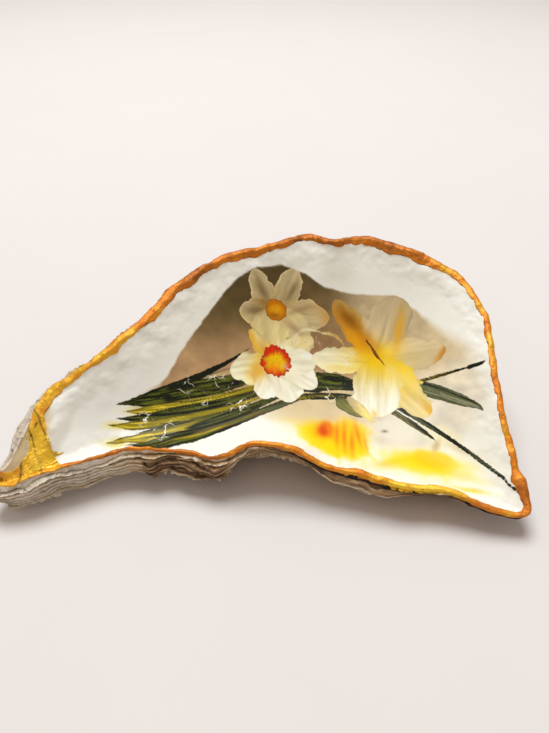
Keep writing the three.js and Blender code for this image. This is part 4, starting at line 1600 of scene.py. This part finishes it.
    ground_glows: tuple = (
        # The yellow trumpet seen from the side.
        Glow((16.0, -4.0), 8.0, 4.0, -20.0, Ink.BUTTER, 0.8),
        Glow((23.0, -8.6), 11.5, 6.3, -24.0, Ink.LEMON, 1.0, 4.0),
        Glow((28.5, -7.0), 6.4, 5.8, -30.0, Ink.YELLOW, 1.0, 2.6),
        Glow((20.6, -4.8), 4.6, 3.2, -10.0, Ink.ORANGE, 0.45, 1.3),
        Glow((20.2, -5.2), 2.2, 3.0, -20.0, Ink.RED, 0.8, 1.2),
        Glow((21.8, -4.2), 1.4, 2.4, 10.0, Ink.ORANGE, 0.8, 1.2),
        Glow((24.4, -6.4), 4.2, 0.8, 82.0, Ink.ORANGE, 0.8),
        Glow((26.6, -7.6), 5.0, 0.8, 84.0, Ink.ORANGE, 0.85),
        Glow((28.8, -9.6), 4.4, 0.8, 80.0, Ink.ORANGE, 0.8),
        Glow((31.2, -6.8), 4.2, 0.7, 96.0, Ink.ORANGE, 0.8),
        Glow((33.2, -9.6), 3.2, 0.6, 92.0, Ink.ORANGE, 0.55),
        Glow((14.0, 1.5), 14.0, 4.2, 4.0, Ink.BISCUIT, 0.75, 2.2),
        # Pale petals, and the yellow flower cut by the near edge with loose colour round it.
        Glow((43.5, -5.5), 6.5, 4.6, -10.0, Ink.CHALK, 0.9, 2.6),
        Glow((56.0, -7.5), 5.6, 3.4, -30.0, Ink.IVORY_PETAL, 0.9, 2.6),
        Glow((40.0, -16.8), 9.0, 1.8, 4.0, Ink.BUTTER, 0.8),
        Glow((43.0, -15.4), 7.0, 0.8, 10.0, Ink.GOLDEN, 0.6),
        Glow((50.0, -16.5), 12.0, 4.4, -8.0, Ink.BUTTER, 0.8),
        Glow((50.0, -16.6), 11.0, 3.4, -9.0, Ink.LEMON, 0.9, 1.6),
        Glow((52.5, -15.4), 6.4, 3.2, -14.0, Ink.YELLOW, 1.0, 2.6),
        Glow((60.5, -20.5), 6.0, 1.6, -22.0, Ink.BUTTER, 0.7),
        Glow((60.0, -24.5), 6.0, 0.7, -10.0, Ink.YELLOW, 0.6),
        Glow((54.5, -11.0), 2.2, 1.0, 60.0, Ink.STRAW, 0.9, 1.4),
        Glow((61.0, -12.5), 3.2, 1.0, -30.0, Ink.STRAW, 0.5),
        Glow((40.0, -5.5), 1.0, 0.5, 0.0, Ink.BROWN_LEAF, 0.8),
        Glow((9.5, -2.0), 5.0, 1.2, -6.0, Ink.BUTTER, 0.35),
        # Yellow bleeding out at the leaves' ends, and stain on the bare hinge margin.
        Glow((-43.5, -5.4), 3.4, 1.2, 0.0, Ink.LIME_LEAF, 0.8),
        Glow((-43.0, -10.8), 4.0, 1.3, 0.0, Ink.LIME_LEAF, 0.8),
        Glow((-38.0, -0.8), 4.0, 1.4, 0.0, Ink.LIME_LEAF, 0.5),
        Glow((-69.5, -13.0), 14.0, 5.0, 60.0, Ink.BISCUIT, 1.0, 3.0),
        Glow((-68.6, -9.0), 6.5, 0.8, 66.0, Ink.CLAY, 0.8),
        Glow((-71.8, -14.5), 5.0, 0.7, 50.0, Ink.BROWN_LEAF, 0.6),
    )
    stamen: tuple = (
        Blade((36.4, 27.5), (39.4, 23.0), (42.8, 17.0), 0.35, Ink.RUST, Ink.GOLDEN, 0.6),
        Blade((38.6, 24.0), (39.5, 22.0), (40.4, 20.5), 0.55, Ink.RUST, Ink.AMBER, 0.4),
    )
    torn_spots: tuple = (
        (-24.7, 8.7, 3.6), (-19.9, 4.0, 3.6), (-15.6, 11.2, 3.2), (-12.4, 10.8, 3.2), (16.8, 26.0, 4.2),
        (28.8, 21.0, 5.0), (23.0, 7.7, 4.0), (8.6, 17.4, 2.6), (-30.0, -6.0, 4.4), (-8.0, 3.0, 4.0),
        (-36.0, -3.0, 3.0), (56.0, 13.0, 2.2),
    )
    seed: int = 5
    paper_blur: float = 0.3
    tear_size: float = 1.6

    def paint(self, places: Array) -> tuple[dict, dict]:
        """Paints the sheet.

        Args:
            places: sheet coordinates, two millimetre numbers each.
        Returns:
            Colours by name, and numbers by name.
        """
        noise = Noise(self.seed)
        ground = self.ground(places, noise)
        leaf, petal, heart = (PaintLayer(places, noise) for _ in range(3))
        for shapes, layer in ((self.leaves, leaf), (self.petals, petal), (self.hearts, heart)):
            for shape in shapes:
                layer.lay(shape)
        for glow in self.petal_glows:
            petal.tint(glow)
        for shape in self.stamen:
            heart.lay(shape)
        for glow in self.heart_glows:
            heart.tint(glow)
        torn = np.zeros(len(places))
        for x, q, radius in self.torn_spots:
            gap = np.hypot(places[:, 0] - x, places[:, 1] - q)
            torn = np.maximum(torn, smoothstep(radius, 0.4 * radius, gap))
        torn = torn * smoothstep(-0.25, 0.2, cloud(noise, places, self.tear_size, 2.0))
        shapes = [smoothstep(-self.paper_blur, self.paper_blur, layer.edge) for layer in (leaf, petal)]
        printed = np.maximum.reduce([ground[1], *shapes])
        colours = {"ground": ground[0], "leaf": leaf.colour, "petal": petal.colour, "heart": heart.colour}
        floats = {"leaf_edge": leaf.edge, "petal_edge": petal.edge, "heart_edge": heart.edge,
                  "inked": printed, "crackle": torn}
        return colours, floats

    def ground(self, places: Array, noise: Noise) -> tuple[Array, Array]:
        """The white paint with the clouded background and loose colour on it, and the background's share."""
        colour, share = self.wash.paint(places, noise)
        ground = lerp(Ink.WHITE_PAINT.rgb, colour, share[:, None])
        for glow in self.ground_glows:
            ground = lerp(ground, glow.ink.rgb, glow.share(places, noise)[:, None])
        return ground, share


@dataclass
class PaintedHollow:
    """The hollow's white paint with the printed paper bonded into it, as one thin film."""

    form: ShellForm
    artwork: NarcissusPrint
    columns: int = 414
    rows: int = 222
    film: float = 0.06
    edge_inset: float = 0.1
    skirt: tuple = (0.0, 0.35, 0.7)
    # Stations where the grid's four corners lie: beak near, open near, open far, beak far.
    corners: tuple = (23.5, 40.5, 46.5, 20.5)
    sheet_tilt: float = math.radians(40.0)
    row_crowding: float = 1.15

    def build(self, finish: PrintedPaintFinish) -> bpy.types.Object:
        """Builds the piece and dresses it."""
        stations = self.side_stations()
        plan = self.patch({name: self.inner_edge(values) for name, values in stations.items()})
        height = self.form.hollow_height(plan.reshape(-1, 2)).reshape(plan.shape[:2])
        points = np.concatenate([plan, (height + self.film)[..., None]], -1)
        for share in self.skirt:
            points = self.with_skirt(points, stations, share)
        sheet = self.sheet_places(points)[::-1]
        points = self.form.rippled(points)[::-1]
        colours, floats = self.artwork.paint(sheet.reshape(-1, 2))
        grid = Grid(points, floats=floats, colours=colours)
        cells = grid.cells()
        rows, columns = points.shape[:2]
        padding = len(self.skirt)
        in_rows = (cells[:, 0] >= padding) & (cells[:, 0] < rows - 1 - padding)
        in_columns = (cells[:, 1] >= padding) & (cells[:, 1] < columns - 1 - padding)
        cells = cells[in_rows | in_columns]
        uv = grid.corners(cells)[..., ::-1] / np.array([columns - 1, rows - 1]) * 0.99 + 0.005
        piece = build_object("painted_hollow", grid, cells, uv)
        piece.data.materials.append(finish.build())
        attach(piece, "root")
        return piece

    def side_stations(self) -> dict[str, Array]:
        """The station of every grid point on the four sides."""
        beak_near, open_near, open_far, beak_far = self.corners
        share = np.linspace(0.0, 1.0, self.columns)
        near = self.even_in_x(beak_near, open_near, share)
        far = self.even_in_x(beak_far, open_far - STATIONS, share)
        step = self.row_shares()
        return {"near": near, "far": far, "beak": lerp(beak_near, beak_far, step),
                "open": lerp(open_near, open_far, step)}

    def row_shares(self) -> Array:
        """How far each row lies from the near side to the far one, closer together at the far one."""
        return 1.0 - (1.0 - np.linspace(0.0, 1.0, self.rows)) ** self.row_crowding

    @staticmethod
    def even_in_x(start: float, end: float, share: Array) -> Array:
        """Stations between two others at even steps along x."""
        fine = np.linspace(start, end, 800)
        x = closed_curve(MARGIN, fine / STATIONS)[:, 0]
        return np.interp(lerp(x[0], x[-1], share), np.maximum.accumulate(x), fine)

    def inner_edge(self, stations: Array) -> Array:
        """Plan of the lip's inner edge, drawn in a little."""
        lip = self.form.lip(stations / STATIONS)
        return lip.inner[:, :2] - lip.out * self.edge_inset

    def patch(self, sides: dict[str, Array]) -> Array:
        """Fills the space between four sides evenly, rows from the near side to the far one."""
        across = np.linspace(0.0, 1.0, self.columns)[None, :, None]
        up = self.row_shares()[:, None, None]
        near, far = sides["near"][None], sides["far"][None]
        beak, opening = sides["beak"][:, None], sides["open"][:, None]
        ruled = lerp(near, far, up) + lerp(beak, opening, across)
        corners = lerp(lerp(near[:, :1], near[:, -1:], across), lerp(far[:, :1], far[:, -1:], across), up)
        return ruled - corners

    def with_skirt(self, points: Array, stations: dict[str, Array], share: float) -> Array:
        """Adds one more line of points outside all four sides, on the flat of the lip."""
        pad = (points.shape[0] - self.rows) // 2
        sides = {}
        for name, values in stations.items():
            lip = self.form.lip(np.pad(values, pad, mode="edge") / STATIONS)
            sides[name] = crown_points(lip, share) + self.film * UP
        points = np.concatenate([sides["near"][None], points, sides["far"][None]])
        beak = np.pad(sides["beak"], ((1, 1), (0, 0)), mode="edge")
        opening = np.pad(sides["open"], ((1, 1), (0, 0)), mode="edge")
        return np.concatenate([beak[:, None], points, opening[:, None]], 1)

    def sheet_places(self, points: Array) -> Array:
        """The printed sheet's own coordinates, which run along x and up the slope of the hollow."""
        rise = points[..., 1] * math.cos(self.sheet_tilt) + points[..., 2] * math.sin(self.sheet_tilt)
        return np.stack([points[..., 0], rise], -1)


# The scene ----------------------------------------------------------------------------------


@dataclass
class Studio:
    """A pale board under one large soft light, and the camera that looks down over the near rim."""

    floor_size: float = 4.0
    camera_place: tuple = (0.00404, -0.15703, 0.1453)
    camera_pitch: float = 38.0
    lens: float = 30.45
    sensor_width: float = 36.0
    clip_start: float = 0.005
    floor_gap: float = 0.0001
    light_place: tuple = (-0.12, 0.56, 1.5)
    light_size: float = 1.0
    light_power: float = 21.0
    light_colour: tuple = (0.93, 0.97, 1.0)
    sky: tuple = linear(248, 233, 222)
    sky_strength: float = 0.45

    def build(self, finish: FloorFinish) -> None:
        """Builds the floor, the light, the sky and the camera."""
        self.floor(finish)
        self.light()
        self.world()
        self.camera()
        bpy.context.scene.view_settings.view_transform = "Standard"

    def floor(self, finish: FloorFinish) -> None:
        """Lays the board."""
        half = self.floor_size / 2
        mesh = bpy.data.meshes.new("pale_board")
        corners = [(x * half, y * half, -self.floor_gap) for x, y in ((-1, -1), (1, -1), (1, 1), (-1, 1))]
        mesh.from_pydata(corners, [], [(0, 1, 2, 3)])
        mesh.materials.append(finish.build())
        board = bpy.data.objects.new("pale_board", mesh)
        bpy.context.scene.collection.objects.link(board)

    def light(self) -> None:
        """Hangs the soft light, aimed at the shell."""
        lamp = bpy.data.lights.new("soft_light", "AREA")
        lamp.shape = "DISK"
        lamp.size = self.light_size
        lamp.energy = self.light_power
        lamp.color = self.light_colour
        place = Vector(self.light_place)
        holder = bpy.data.objects.new("soft_light", lamp)
        holder.location = place
        holder.rotation_euler = (-place).to_track_quat("-Z", "Y").to_euler()
        bpy.context.scene.collection.objects.link(holder)

    def world(self) -> None:
        """Fills the shadows with an even sky."""
        world = bpy.data.worlds.new("even_sky")
        world.use_nodes = True
        background = world.node_tree.nodes["Background"]
        background.inputs["Color"].default_value = (*self.sky, 1.0)
        background.inputs["Strength"].default_value = self.sky_strength
        bpy.context.scene.world = world

    def camera(self) -> None:
        """Stands the camera in front of the shell."""
        eye = bpy.data.cameras.new("camera")
        eye.lens = self.lens
        eye.sensor_width = self.sensor_width
        eye.clip_start = self.clip_start
        holder = bpy.data.objects.new("camera", eye)
        holder.location = self.camera_place
        holder.rotation_euler = (math.radians(90.0 - self.camera_pitch), 0.0, 0.0)
        bpy.context.scene.collection.objects.link(holder)
        bpy.context.scene.camera = holder


def main() -> None:
    """Builds every piece in order and reports it."""
    logging.basicConfig(level=logging.INFO, format="%(name)s: %(message)s")
    effects = EffectLibrary()
    form = ShellForm()
    plates = GrowthPlates()
    pieces = (
        Valve(form, plates).build(RawShellFinish(effects)),
        PaintedHollow(form, NarcissusPrint()).build(PrintedPaintFinish(effects)),
        Gilding(form, plates).build(GoldPaintFinish(effects)),
    )
    Studio().build(FloorFinish(effects))
    for piece in pieces:
        mesh = piece.data
        mesh.calc_loop_triangles()
        triangles = len(mesh.loop_triangles)
        LOG.info("%s: %d triangles, finish %s", piece.name, triangles, mesh.materials[0].name)


if __name__ == "__main__":
    main()
